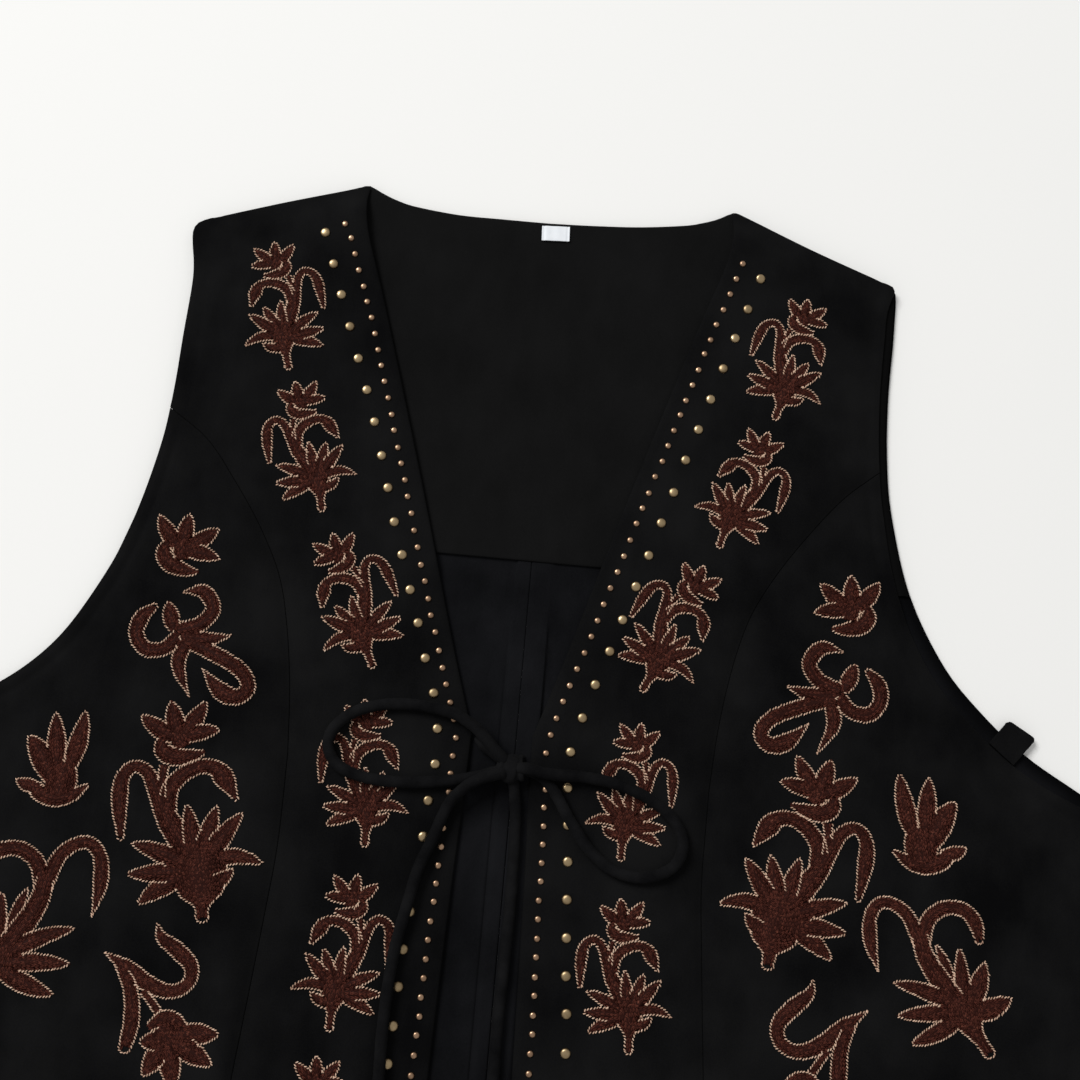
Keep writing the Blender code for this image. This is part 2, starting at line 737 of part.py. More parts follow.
def build_knot(material, parts):
    """The bow's knot: the wrapped strand bulges round the middle of a short spool."""
    profile = bpy.data.meshes.new("bow_knot")
    points = [(0.0, 0.0, KNOT_HALF_WIDTH)]
    for step in range(1, KNOT_STEPS):
        share = step / KNOT_STEPS
        along = KNOT_HALF_WIDTH * math.cos(math.pi * share)
        band = math.exp(-((along / KNOT_BAND) ** 2))
        radius = blend(KNOT_WAIST, KNOT_BULGE, band) * math.sin(math.pi * share) ** 0.5
        points.append((radius, 0.0, along))
    points.append((0.0, 0.0, -KNOT_HALF_WIDTH))
    edges = [(index, index + 1) for index in range(len(points) - 1)]
    profile.from_pydata([tuple(value * MM for value in point) for point in points], edges, [])
    piece = add_object("bow_knot", profile, material, parts)
    screw = piece.modifiers.new("turn", "SCREW")
    screw.axis = "Z"
    screw.steps = KNOT_SIDES
    screw.render_steps = KNOT_SIDES
    screw.use_merge_vertices = True
    screw.merge_threshold = MERGE_DISTANCE
    centre = place(*KNOT_CENTRE)
    piece.matrix_world = Matrix.Translation(centre) @ Matrix.Rotation(math.pi / 2, 4, "Y")
    return piece


def build_cord(name, route, material, parts):
    """A stretch of the tie as a round tube along a smooth curve through its route."""
    rail = Rail([Vector((point.x, point.down, point.z)) for point in route])
    count = max(2, round(rail.lengths[0][-1] / CORD_SPACING))
    curve = bpy.data.curves.new(name, "CURVE")
    curve.dimensions = "3D"
    curve.bevel_depth = CORD_DIAMETER / 2 * MM
    curve.bevel_resolution = 2
    curve.use_fill_caps = True
    spline = curve.splines.new("POLY")
    spline.points.add(count)
    for index, point in enumerate(spline.points):
        point.co = (*place(*rail.at(index / count)), 1.0)
    piece = add_object(name, curve, material, parts)
    weld = piece.modifiers.new("close the caps", "WELD")
    weld.merge_threshold = MERGE_DISTANCE
    return piece


def main():
    for item in list(bpy.data.objects):
        bpy.data.objects.remove(item, do_unlink=True)
    parts = bpy.data.collections.new("embroidered_vest")
    bpy.context.scene.collection.children.link(parts)
    outer_cloth = make_material("black_cloth", (0.008, 0.008, 0.009), 0.92)
    inner_cloth = make_material("inside_cloth", (0.007, 0.009, 0.013), 0.95)
    facing_cloth = make_material("facing_cloth", (0.008, 0.008, 0.009), 0.94)
    label_cloth = make_material("white_label", (0.86, 0.88, 0.92), 0.80)
    cord_cloth = make_material("tie_cord", (0.009, 0.009, 0.010), 0.90)
    for side in (LEFT, RIGHT):
        build_back(side, inner_cloth, parts)
    build_facing(facing_cloth, parts)
    for side in (LEFT, RIGHT):
        heights = FrontHeights(side)
        build_front_centre(side, heights, outer_cloth, parts)
        build_front_side(side, heights, outer_cloth, parts)
    build_label(label_cloth, parts)
    build_hanger_loop(outer_cloth, parts)
    build_knot(cord_cloth, parts)
    cords = {
        "tie_stub_left": TIE_STUB_LEFT,
        "tie_stub_right": TIE_STUB_RIGHT,
        "bow_loop_left": BOW_LOOP_LEFT,
        "bow_loop_right": BOW_LOOP_RIGHT,
        "tie_tail_left": TIE_TAIL_LEFT,
        "tie_tail_right": TIE_TAIL_RIGHT,
    }
    for name, route in cords.items():
        build_cord(name, route, cord_cloth, parts)


main()
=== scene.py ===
"""The looks of a sleeveless embroidered vest that lies flat, its fronts tied with a bow.

Plan sizes are millimetres: x runs to the viewer's right from the vest's middle, down runs from the neck
points towards the hem, and z is the height above the surface that the vest lies on.
"""

import logging
import math
from dataclasses import dataclass, field
from enum import Enum
from typing import Any, Sequence

import bpy
import numpy as np
from mathutils import Matrix, Vector


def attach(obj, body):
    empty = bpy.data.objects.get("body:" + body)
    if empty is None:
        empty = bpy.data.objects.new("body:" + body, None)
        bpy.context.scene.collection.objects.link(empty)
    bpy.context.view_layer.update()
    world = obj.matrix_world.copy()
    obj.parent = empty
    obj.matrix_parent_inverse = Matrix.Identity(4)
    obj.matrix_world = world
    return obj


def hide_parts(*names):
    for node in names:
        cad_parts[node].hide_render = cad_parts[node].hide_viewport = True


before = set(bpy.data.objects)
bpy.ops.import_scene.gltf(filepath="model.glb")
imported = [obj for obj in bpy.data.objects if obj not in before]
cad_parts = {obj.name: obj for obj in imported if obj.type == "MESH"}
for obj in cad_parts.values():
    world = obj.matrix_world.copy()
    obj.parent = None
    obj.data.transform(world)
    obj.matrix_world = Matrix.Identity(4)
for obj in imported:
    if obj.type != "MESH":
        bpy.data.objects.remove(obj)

# A small shape's points and faces; a blade's middle line, half widths, left normals and shares along
Model = tuple[np.ndarray, list[tuple[int, ...]]]
Outline = tuple[np.ndarray, np.ndarray, np.ndarray, np.ndarray]

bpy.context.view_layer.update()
LOG = logging.getLogger("vest")
BODY = "root"
MM = 0.001
LENGTH = 530.0
SEED = 11

# The cloth
CLOTH = 1.4
FACING_CLOTH = 1.2
SEAM_GAP = 0.3
STITCHED_GAP = 0.05
EDGE_STEPS = (0.0, 0.08, 0.25, 0.5, 0.8, 1.3, 2.1, 3.2)

# The cut: half widths and distances down
NECK_HALF = 81.0
HEM_HALF = 270.0
FACING_DEPTH = 161.0
BACK_PANEL_HALF = 120.0
PRINCESS_TOP = 107.5
PRINCESS_UPPER = (
    (136.0, 122.0), (122.0, 139.0), (109.2, 157.4), (99.5, 175.8), (93.6, 196.0), (89.0, 222.5),
    (86.5, 250.0),
)
PRINCESS_LOWER = (
    (86.5, 250.0), (86.1, 286.0), (88.0, 315.0), (91.2, 355.0), (98.0, 440.0), (106.0, LENGTH),
)
V_EDGE = ((58.3, 85.0), (41.2, 140.3), (24.0, 198.2), (12.4, 234.3))
FRONT_EDGE = (
    (12.4, 234.3), (13.1, 260.0), (14.6, 300.0), (16.4, 368.0), (18.0, 450.0), (20.0, LENGTH),
)
TIP_SHARE = 0.003
CENTRE_BACK_NECK = 2.6
CENTRE_BACK_FACING = 5.7
CENTRE_BACK_LOW = 7.0

# The tie's routes: x, down and z
TIE_STUB_LEFT = (
    (-11.0, 236.6, 3.9), (-7.4, 238.8, 4.0), (-3.6, 241.3, 4.4), (-0.6, 243.4, 4.8), (3.0, 245.4, 5.6),
)
TIE_STUB_RIGHT = ((9.4, 241.6, 3.9), (8.5, 243.0, 4.3), (7.2, 244.8, 5.0))
BOW_LOOP_LEFT = (
    (3.0, 245.6, 8.4), (-1.4, 241.4, 9.0), (-7.0, 235.8, 8.6), (-13.5, 230.8, 8.0), (-22.0, 227.2, 7.5),
    (-36.0, 225.4, 7.4), (-50.0, 226.6, 7.6), (-61.0, 230.6, 8.0), (-68.4, 237.6, 8.3),
    (-69.8, 245.6, 8.3), (-64.4, 252.8, 8.2), (-53.0, 256.4, 8.1), (-38.0, 256.8, 8.0),
    (-25.0, 255.4, 7.3), (-15.5, 253.8, 6.6), (-8.4, 251.8, 6.4), (-2.2, 249.6, 6.3), (2.6, 248.2, 6.8),
)
BOW_LOOP_RIGHT = (
    (6.8, 247.0, 9.2), (11.6, 247.0, 10.5), (17.0, 248.0, 10.6), (24.0, 248.4, 9.6), (36.0, 248.4, 7.6),
    (50.0, 250.4, 7.7), (62.5, 255.0, 8.2), (72.5, 262.4, 8.5), (76.8, 271.6, 8.4),
    (73.4, 280.6, 8.5), (62.8, 285.6, 8.5), (50.6, 284.4, 8.0), (39.4, 277.0, 7.5),
    (30.2, 265.4, 7.3), (23.2, 255.0, 6.6), (17.4, 249.6, 6.2), (11.4, 247.6, 6.0), (7.0, 247.4, 6.4),
)
TIE_TAIL_LEFT = (
    (3.0, 249.2, 9.6), (-1.4, 250.6, 10.9), (-7.4, 252.8, 11.0), (-13.4, 257.0, 9.8), (-19.2, 264.4, 8.0),
    (-23.6, 276.8, 7.6), (-28.4, 290.0, 7.9), (-31.4, 304.6, 8.2), (-34.2, 320.0, 8.2),
    (-35.6, 336.0, 8.2), (-35.9, 354.0, 8.2), (-35.4, 374.0, 8.2), (-36.2, 394.0, 8.3),
    (-38.6, 414.0, 8.2), (-40.4, 432.0, 7.9), (-40.2, 448.0, 7.5),
)
TIE_TAIL_RIGHT = (
    (5.4, 248.6, 6.8), (6.2, 252.0, 5.4), (7.4, 258.0, 4.9), (8.6, 268.0, 4.8), (9.3, 286.0, 4.8),
    (9.6, 306.0, 4.8), (9.2, 325.0, 4.8), (8.8, 345.0, 4.8), (9.0, 368.0, 4.8),
    (8.0, 392.0, 4.8), (6.0, 414.0, 4.8), (5.4, 434.0, 4.8), (6.2, 454.0, 4.8),
)


class Side(Enum):
    """The side of the vest as the viewer sees it."""

    LEFT = -1
    RIGHT = 1

    @property
    def word(self) -> str:
        """The side's name in a node's name."""
        return self.name.lower()


class Turn(Enum):
    """How a motif lies on its panel."""

    PLAIN = 1
    MIRRORED = -1


@dataclass(frozen=True)
class Cut:
    """The edges that differ from side to side, as half widths and distances down.

    The neck curve and the back shoulder are the back's own edges, and the shoulder and the neck edge are
    the front's. Neck lift is how far the front stands off the back beside the neck. Each row of the
    armhole also says how far the back stands out past the front there.
    """

    neck_curve: tuple[tuple[float, float], ...]
    back_shoulder: tuple[tuple[float, float], ...]
    shoulder: tuple[tuple[float, float], ...]
    neck_edge: tuple[tuple[float, float], ...]
    neck_lift: float
    armhole: tuple[tuple[float, float, float], ...]


CUTS = {
    Side.LEFT: Cut(
        neck_curve=(
            (0.0, 9.0), (20.0, 9.1), (40.0, 9.0), (60.0, 6.8), (68.0, 4.8), (73.0, 2.9), (76.6, 1.2),
            (79.6, -0.3), (81.0, -0.9),
        ),
        back_shoulder=((81.0, -0.9), (82.6, -1.0), (85.0, 0.2), (92.0, 3.4), (118.0, 12.2), (150.8, 23.4)),
        shoulder=((80.4, 1.4), (81.4, 0.6), (85.0, 1.5), (92.0, 4.0), (118.0, 12.2), (150.8, 23.4)),
        neck_edge=((80.4, 1.4), (80.9, 9.0), (78.3, 24.0), (69.5, 50.0), (58.3, 85.0)),
        neck_lift=2.4,
        armhole=(
            (150.8, 23.4, 0.0), (154.0, 25.6, -0.2), (155.3, 29.5, -0.4), (154.5, 36.0, -0.4),
            (153.0, 44.0, -0.4), (152.4, 54.0, -0.4), (153.1, 76.0, -0.4), (153.8, 103.0, -0.4),
            (156.2, 128.0, -0.4), (163.7, 162.0, -0.4), (175.7, 191.3, -0.4), (189.1, 213.6, -0.4),
            (208.0, 231.2, -0.4), (231.0, 243.1, -0.4), (262.0, 251.0, 0.0),
        ),
    ),
    Side.RIGHT: Cut(
        neck_curve=(
            (0.0, 9.0), (20.0, 8.2), (40.0, 6.8), (60.0, 4.0), (68.0, 1.8), (73.0, 0.0), (76.0, -1.5),
            (78.0, -2.7), (79.8, -3.8), (81.0, -4.3),
        ),
        back_shoulder=((81.0, -4.3), (82.6, -4.2), (85.0, -3.0), (92.0, 0.4), (118.0, 11.5), (153.3, 24.6)),
        shoulder=((80.4, -2.2), (81.4, -3.1), (85.0, -2.0), (92.0, 1.0), (118.0, 11.7), (153.0, 24.7)),
        neck_edge=((80.4, -2.2), (80.9, 9.0), (78.3, 24.0), (69.5, 50.0), (58.3, 85.0)),
        neck_lift=3.4,
        armhole=(
            (153.0, 24.7, 0.3), (153.9, 27.2, 1.3), (152.6, 31.0, 3.0), (150.9, 38.0, 4.4),
            (150.3, 50.0, 4.7), (149.4, 76.0, 4.5), (150.3, 103.0, 4.3), (153.2, 128.0, 4.5),
            (161.2, 162.8, 6.0), (176.4, 193.0, 7.0), (193.6, 212.5, 7.2), (213.6, 229.0, 7.0),
            (237.0, 241.0, 5.5), (262.0, 248.5, 0.0),
        ),
    ),
}


class Wire:
    """A shader socket that takes part in arithmetic and adds the Math nodes for it."""

    def __init__(self, graph: "Graph", socket: bpy.types.NodeSocket) -> None:
        """Holds the socket and the graph that it belongs to."""
        self.graph = graph
        self.socket = socket

    def math(self, operation: str, *others: Any) -> "Wire":
        """Adds one Math node.

        Args:
            operation: The node's operation.
            *others: The second and third operands, numbers or wires.

        Returns:
            The node's result.
        """
        values = {index: value for index, value in enumerate((self, *others))}
        return self.graph.wire(self.graph.node("ShaderNodeMath", {"operation": operation}, values))

    def __add__(self, other: Any) -> "Wire":
        """Adds a number or a wire."""
        return self.math("ADD", other)

    def __mul__(self, other: Any) -> "Wire":
        """Multiplies by a number or a wire."""
        return self.math("MULTIPLY", other)

    def __sub__(self, other: Any) -> "Wire":
        """Takes a number or a wire away."""
        return self.math("SUBTRACT", other)

    def held(self) -> "Wire":
        """Keeps the value between 0 and 1."""
        return self.math("MAXIMUM", 0.0).math("MINIMUM", 1.0)


class Graph:
    """One material and its nodes."""

    def __init__(self, name: str) -> None:
        """Starts a material with an empty Principled BSDF.

        Args:
            name: The material's name.
        """
        self.material = bpy.data.materials.new(name)
        self.material.use_nodes = True
        self.tree = self.material.node_tree
        self.shader = self.tree.nodes["Principled BSDF"]

    def node(self, kind: str, settings: dict | None = None, values: dict | None = None) -> Any:
        """Adds one node.

        Args:
            kind: The node's type.
            settings: Its own settings.
            values: Its sockets' values or wires, by name or number.

        Returns:
            The new node.
        """
        node = self.tree.nodes.new(kind)
        for key, value in (settings or {}).items():
            setattr(node, key, value)
        self.feed(node, values or {})
        return node

    def feed(self, node: Any, values: dict) -> None:
        """Sets or links a node's sockets by name or number.

        Args:
            node: The node.
            values: What each socket gets.
        """
        for key, value in values.items():
            if isinstance(value, Wire):
                self.tree.links.new(value.socket, node.inputs[key])
            else:
                node.inputs[key].default_value = value

    def wire(self, node: Any, output: int | str = 0) -> Wire:
        """One of a node's outputs as a wire."""
        return Wire(self, node.outputs[output])

    def place(self, scale: Sequence[float] = (1.0, 1.0, 1.0), turn: float = 0.0) -> Wire:
        """The piece's own coordinates in metres, stretched and turned about the upright axis.

        Args:
            scale: The stretch along each axis.
            turn: The turn in radians.

        Returns:
            The coordinates.
        """
        coordinates = self.wire(self.node("ShaderNodeTexCoord"), "Object")
        mapping = {"Vector": coordinates, "Scale": tuple(scale), "Rotation": (0.0, 0.0, turn)}
        return self.wire(self.node("ShaderNodeMapping", None, mapping))

    def reading(self, name: str) -> Wire:
        """A value that the piece's points carry, by its name."""
        return self.wire(self.node("ShaderNodeAttribute", {"attribute_name": name}), "Fac")

    def noise(self, scale: float, detail: float, where: Wire | None = None) -> Wire:
        """A soft noise between 0 and 1 over the piece's own coordinates."""
        values = {"Vector": where or self.place(), "Scale": scale, "Detail": detail}
        return self.wire(self.node("ShaderNodeTexNoise", None, values), "Fac")

    def mixed(self, share: Wire, start: Wire | Sequence[float], end: Sequence[float]) -> Wire:
        """A colour between two, by a share."""
        values = {0: share, 6: start if isinstance(start, Wire) else (*start, 1.0), 7: (*end, 1.0)}
        return self.wire(self.node("ShaderNodeMix", {"data_type": "RGBA"}, values), 2)

    def bump(self, height: Wire, distance: float, strength: float) -> Wire:
        """A normal that follows a height."""
        values = {"Height": height, "Distance": distance, "Strength": strength}
        return self.wire(self.node("ShaderNodeBump", None, values), "Normal")


@dataclass(frozen=True)
class Suede:
    """Brushed black cloth: soft patches where the nap lies another way, over a fine pile."""

    name: str
    deep: tuple[float, float, float]
    worn: tuple[float, float, float]
    mottle: float = 2.6
    sheen: float = 0.006
    gloss: float = 0.02
    patch_scale: float = 24.0
    pile_scale: float = 1900.0
    pile_depth: float = 0.00016
    # How dark the painted shade near a marked edge makes the deep colour.
    edge_shade: float = 0.45

    def material(self) -> bpy.types.Material:
        """Makes the cloth's material.

        Returns:
            The material.
        """
        graph = Graph(self.name)
        patches = graph.noise(self.patch_scale, 3.0)
        strokes = graph.noise(1.0, 2.0, graph.place((130.0, 60.0, 90.0), 0.35))
        pile = graph.noise(self.pile_scale, 2.0)
        worn = (patches * self.mottle + strokes * 0.5 + pile * 0.7 - 0.5 * (self.mottle + 0.2)).held()
        weave = graph.noise(700.0, 2.0) * 0.5 + pile * 0.5
        # Painted shade: points marked near the armhole's turned edge are mixed towards this darker copy of
        # the deep colour.
        edge_shade = graph.reading("edge_shade")
        dark = tuple(value * self.edge_shade for value in self.deep)
        graph.feed(graph.shader, {
            "Base Color": graph.mixed(edge_shade, graph.mixed(worn, self.deep, self.worn), dark),
            "Roughness": patches * 0.08 + 0.86,
            "Normal": graph.bump(weave, self.pile_depth, 0.55),
            "Specular IOR Level": self.gloss,
            "Sheen Weight": self.sheen,
            "Sheen Roughness": 0.55,
        })
        return graph.material


@dataclass(frozen=True)
class Yarn:
    """Embroidery thread, each stitch a little lighter or darker than its neighbours."""

    name: str
    dark: tuple[float, float, float]
    light: tuple[float, float, float]
    fleck: tuple[float, float, float]
    gloss: float = 0.06

    def material(self) -> bpy.types.Material:
        """Makes the thread's material, which reads each stitch's tone.

        Returns:
            The material.
        """
        graph = Graph(self.name)
        tone = graph.reading("tone")
        fibres = graph.noise(5200.0, 2.0)
        lit = (tone * 0.75 + fibres * 0.9 - 0.3).held()
        body = graph.mixed(lit, self.dark, self.light)
        flecks = (graph.noise(900.0, 1.0) * 6.0 - 3.7).held()
        graph.feed(graph.shader, {
            "Base Color": graph.mixed(flecks, body, self.fleck),
            "Roughness": fibres * 0.2 + 0.55,
            "Normal": graph.bump(fibres, 0.00008, 0.6),
            "Specular IOR Level": self.gloss,
        })
        return graph.material


@dataclass(frozen=True)
class AntiqueBrass:
    """Brass studs with worn bright crowns, darker round the rim: patina in the fold there, and painted
    contact shade.
    """

    name: str = "antique_brass"
    bright: tuple[float, float, float] = (0.47, 0.35, 0.20)
    patina_and_shade: tuple[float, float, float] = (0.085, 0.053, 0.027)

    def material(self) -> bpy.types.Material:
        """Makes the brass, which reads each stud's tone and how near its rim a point is.

        Returns:
            The material.
        """
        graph = Graph(self.name)
        tone = graph.reading("tone")
        rim = graph.reading("rim")
        cloud = graph.noise(900.0, 3.0)
        # Darker towards the rim: partly patina, partly painted contact shade where the stud meets the
        # cloth.
        tarnish_and_shade = (rim * 0.75 + cloud * 0.7 + tone * 0.45 - 0.45).held()
        graph.feed(graph.shader, {
            "Base Color": graph.mixed(tarnish_and_shade, self.bright, self.patina_and_shade),
            "Metallic": 1.0,
            "Roughness": tarnish_and_shade * 0.22 + 0.3,
            "Normal": graph.bump(graph.noise(2600.0, 2.0), 0.00003, 0.35),
        })
        return graph.material


@dataclass(frozen=True)
class SatinTape:
    """The label's woven white tape with fine ribs across it."""

    name: str = "satin_tape"
    color: tuple[float, float, float] = (0.86, 0.89, 0.93)
    shade: tuple[float, float, float] = (0.70, 0.74, 0.80)
    rib_scale: float = 800.0

    def material(self) -> bpy.types.Material:
        """Makes the tape's material.

        Returns:
            The material.
        """
        graph = Graph(self.name)
        settings = {"wave_type": "BANDS", "bands_direction": "X", "wave_profile": "SIN"}
        values = {"Vector": graph.place(turn=0.05), "Scale": self.rib_scale, "Distortion": 0.4}
        ribs = graph.wire(graph.node("ShaderNodeTexWave", settings, values), "Fac")
        cloud = graph.noise(420.0, 2.0)
        graph.feed(graph.shader, {
            "Base Color": graph.mixed((cloud * 0.8 - 0.2 + ribs * 0.15).held(), self.color, self.shade),
            "Roughness": ribs * 0.15 + 0.45,
            "Normal": graph.bump(ribs, 0.00005, 0.5),
            "Specular IOR Level": 0.3,
        })
        return graph.material


@dataclass(frozen=True)
class PaleBoard:
    """The plain white surface below."""

    name: str = "pale_board"
    color: tuple[float, float, float] = (0.925, 0.925, 0.915)

    def material(self) -> bpy.types.Material:
        """Makes the surface's material.

        Returns:
            The material.
        """
        graph = Graph(self.name)
        cloud = graph.noise(3.0, 2.0)
        shade = tuple(value * 0.985 for value in self.color)
        graph.feed(graph.shader, {
            "Base Color": graph.mixed(cloud, self.color, shade),
            "Roughness": 0.9,
            "Specular IOR Level": 0.05,
        })
        return graph.material


def ease(value: np.ndarray | float) -> np.ndarray:
    """Rises smoothly from 0 to 1 as the value does, and stays there outside."""
    held = np.clip(value, 0.0, 1.0)
    return held * held * (3.0 - 2.0 * held)


def smooth_line(points: Sequence, steps: int = 12) -> np.ndarray:
    """Many points along the smooth curve through a few.

    Args:
        points: The few points, each a row.
        steps: How many points each stretch gives.

    Returns:
        The points, a row each.
    """
    knots = np.asarray(points, dtype=float)
    padded = np.vstack([2 * knots[0] - knots[1], knots, 2 * knots[-1] - knots[-2]])
    share = (np.arange(steps) / steps)[:, None]
    square, cube = share**2, share**3
    rows = []
    for before, start, end, after in zip(padded, padded[1:], padded[2:], padded[3:]):
        rows.append(
            start * (2 * cube - 3 * square + 1)
            + (end - before) * 0.5 * (cube - 2 * square + share)
            + end * (3 * square - 2 * cube)
            + (after - start) * 0.5 * (cube - square)
        )
    return np.vstack([*rows, knots[-1]])


def run_of(line: np.ndarray) -> np.ndarray:
    """The distance travelled along a line at each of its points."""
    return np.concatenate([[0.0], np.cumsum(np.linalg.norm(np.diff(line, axis=0), axis=1))])


def along(line: np.ndarray, goals: np.ndarray) -> np.ndarray:
    """The points at given distances along a line."""
    run = run_of(line)
    return np.stack([np.interp(goals, run, line[:, axis]) for axis in range(line.shape[1])], axis=-1)


class Rail:
    """A boundary made of smooth stretches, read by stretch number and share along it."""

    def __init__(self, *stretches: Sequence) -> None:
        """Smooths each stretch."""
        self.lines = [smooth_line(stretch) for stretch in stretches]

    def at(self, stations: Sequence[float]) -> np.ndarray:
        """The points at the given stations.

        Args:
            stations: Stretch numbers, each with the share past its start.

        Returns:
            The points.
        """
        found = []
        for station in np.atleast_1d(stations):
            number = min(int(station), len(self.lines) - 1)
            line = self.lines[number]
            found.append(along(line, np.array([(station - number) * run_of(line)[-1]]))[0])
        return np.array(found)

    def points(self) -> np.ndarray:
        """Every point of the boundary."""
        return np.vstack(self.lines)


def heading(line: np.ndarray) -> np.ndarray:
    """The unit direction of travel at each point of a line."""
    travel = np.gradient(line, axis=0)
    return travel / np.linalg.norm(travel, axis=1)[:, None]


def bell(distance: np.ndarray, width: float) -> np.ndarray:
    """A rounded bump that is 1 at no distance and fades out over a width."""
    return np.exp(-((distance / width) ** 2))


def shifted(line: np.ndarray, distance: float | np.ndarray) -> np.ndarray:
    """A line moved sideways in plan, to the left of its direction of travel if positive."""
    travel = heading(line)
    return line + distance * np.stack([-travel[:, 1], travel[:, 0]], axis=1)


def plan(side: Side, stations: Sequence) -> np.ndarray:
    """A table's half widths and distances down as plan points on one side."""
    return np.array(stations) * (side.value, 1.0)


def armhole_line(side: Side) -> np.ndarray:
    """The front's armhole edge."""
    return plan(side, smooth_line(CUTS[side].armhole)[:, :2])


def split_at_down(line: np.ndarray, down: float) -> tuple[np.ndarray, np.ndarray]:
    """Cuts a line that runs downwards in two at a distance down."""
    index = int(np.argmax(line[:, 1] >= down))
    return line[: index + 1], line[index:]


def side_seam(side: Side) -> np.ndarray:
    """The seam from the underarm to the hem."""
    return np.array([armhole_line(side)[-1], (side.value * HEM_HALF, LENGTH)])


def princess_line(side: Side) -> tuple[np.ndarray, np.ndarray]:
    """The curved front seam's upper and lower stretches.

    Args:
        side: Which side.

    Returns:
        The two stretches' plan points.
    """
    start = split_at_down(armhole_line(side), PRINCESS_TOP)[0][-1]
    upper = smooth_line(np.vstack([start, plan(side, PRINCESS_UPPER)]))
    return upper, smooth_line(plan(side, PRINCESS_LOWER))


def centre_back(down: np.ndarray | float) -> np.ndarray:
    """How far the centre-back seam lies to the right of the vest's middle."""
    places = (CENTRE_BACK_NECK, CENTRE_BACK_FACING, CENTRE_BACK_LOW)
    return np.interp(down, (0.0, FACING_DEPTH, LENGTH), places)


def back_armhole(side: Side) -> np.ndarray:
    """The back's armhole, which stands out past the front's on the right."""
    return shifted(armhole_line(side), -side.value * smooth_line(CUTS[side].armhole)[:, 2:])


def distance_to(line: np.ndarray, points: np.ndarray) -> np.ndarray:
    """The distance in plan from each point to a line of points.

    Args:
        line: The line's points.
        points: The points to measure from.

    Returns:
        The distances.
    """
    nearest = np.full(len(points), np.inf)
    for start, end in zip(line, line[1:]):
        span = end - start
        share = np.clip(((points - start) @ span) / max(float(span @ span), 1e-9), 0.0, 1.0)
        gap = points - start - share[:, None] * span
        nearest = np.minimum(nearest, np.hypot(gap[:, 0], gap[:, 1]))
    return nearest


def nearest_of(lines: Sequence[np.ndarray], points: np.ndarray) -> np.ndarray:
    """The distance in plan from each point to the nearest of several lines."""
    return np.minimum.reduce([distance_to(line, points) for line in lines])


def patch(rails: tuple[Rail, Rail, Rail, Rail], across: np.ndarray, down: np.ndarray) -> np.ndarray:
    """Plan points over four rails, blended so that each edge follows its own rail.

    Args:
        rails: The top, bottom, left and right boundaries.
        across: Stations along the top and the bottom.
        down: Stations along the left and the right.

    Returns:
        The plan points, by row, column and coordinate.
    """
    top, bottom, left, right = rails
    stretches = float(len(top.lines))
    u = (across / stretches)[None, :, None]
    v = ((down - down[0]) / (down[-1] - down[0]))[:, None, None]
    ends = left.at(down)[:, None] * (1 - u) + right.at(down)[:, None] * u
    levels = top.at(across)[None] * (1 - v) + bottom.at(across)[None] * v
    high = top.at([0.0])[0] * (1 - u) + top.at([stretches])[0] * u
    low = bottom.at([0.0])[0] * (1 - u) + bottom.at([stretches])[0] * u
    return ends + levels - high * (1 - v) - low * v


def shares(length: float, step: float, start_edge: bool, end_edge: bool) -> np.ndarray:
    """Shares along a stretch, close together beside a finished edge and even between.

    Args:
        length: The stretch's length.
        step: The distance between shares, away from the edges.
        start_edge: Whether it starts at a finished edge.
        end_edge: Whether it ends at one.

    Returns:
        The shares.
    """
    strips = np.array(EDGE_STEPS) / length
    head = strips if start_edge else np.zeros(1)
    tail = 1.0 - strips[::-1] if end_edge else np.ones(1)
    count = max(1, round((tail[0] - head[-1]) * length / step))
    return np.concatenate([head, np.linspace(head[-1], tail[0], count + 1)[1:-1], tail])


def chained(*stretches: np.ndarray) -> np.ndarray:
    """Joins the shares of successive stretches into stations."""
    parts = [number + stretch[:-1] for number, stretch in enumerate(stretches)]
    return np.concatenate([*parts, [float(len(stretches))]])


def stations_along(runs: Sequence[float], step: float) -> np.ndarray:
    """Stations along a boundary whose two ends are finished edges.

    Args:
        runs: The length of each of its stretches.
        step: The distance between stations, away from the edges.

    Returns:
        The stations, by stretch number and share.
    """
    last = len(runs) - 1
    return chained(*(shares(run, step, index == 0, index == last) for index, run in enumerate(runs)))


def round_off(distance: np.ndarray, radius: float) -> np.ndarray:
    """How far a rounded edge falls away at a distance from it."""
    inner = np.clip(radius - distance, 0.0, radius)
    return radius - np.sqrt(radius**2 - inner**2)


def to_part(x: np.ndarray, down: np.ndarray, z: np.ndarray) -> np.ndarray:
    """Measured points in the part's frame, in metres."""
    return np.stack([x * MM, (LENGTH / 2 - down) * MM, z * MM], axis=-1)


def ripples(points: np.ndarray, seed: int, size: float, count: int = 7) -> np.ndarray:
    """A smooth uneven wave over plan points, about -1 to 1, from a few crossed waves.

    Args:
        points: The plan points.
        seed: What the waves' directions are drawn from.
        size: Their usual length.
        count: How many there are.

    Returns:
        The wave's height at each point.
    """
    random = np.random.default_rng(seed)
    total = np.zeros(len(points))
    for _ in range(count):
        angle = random.uniform(0.0, math.pi)
        turns = 2.0 * math.pi / (size * random.uniform(0.7, 1.6))
        phase = random.uniform(0.0, 2.0 * math.pi)
        total += np.sin(turns * (points @ (math.cos(angle), math.sin(angle))) + phase)
    return total / math.sqrt(count)


def deselect() -> None:
    """Leaves object mode with nothing selected."""
    if bpy.context.object and bpy.context.object.mode != "OBJECT":
        bpy.ops.object.mode_set(mode="OBJECT")
    bpy.ops.object.select_all(action="DESELECT")


def choose(piece: bpy.types.Object) -> None:
    """Makes the piece the active one and the only one selected.

    Args:
        piece: The piece.
    """
    deselect()
    bpy.context.view_layer.objects.active = piece
    piece.select_set(True)


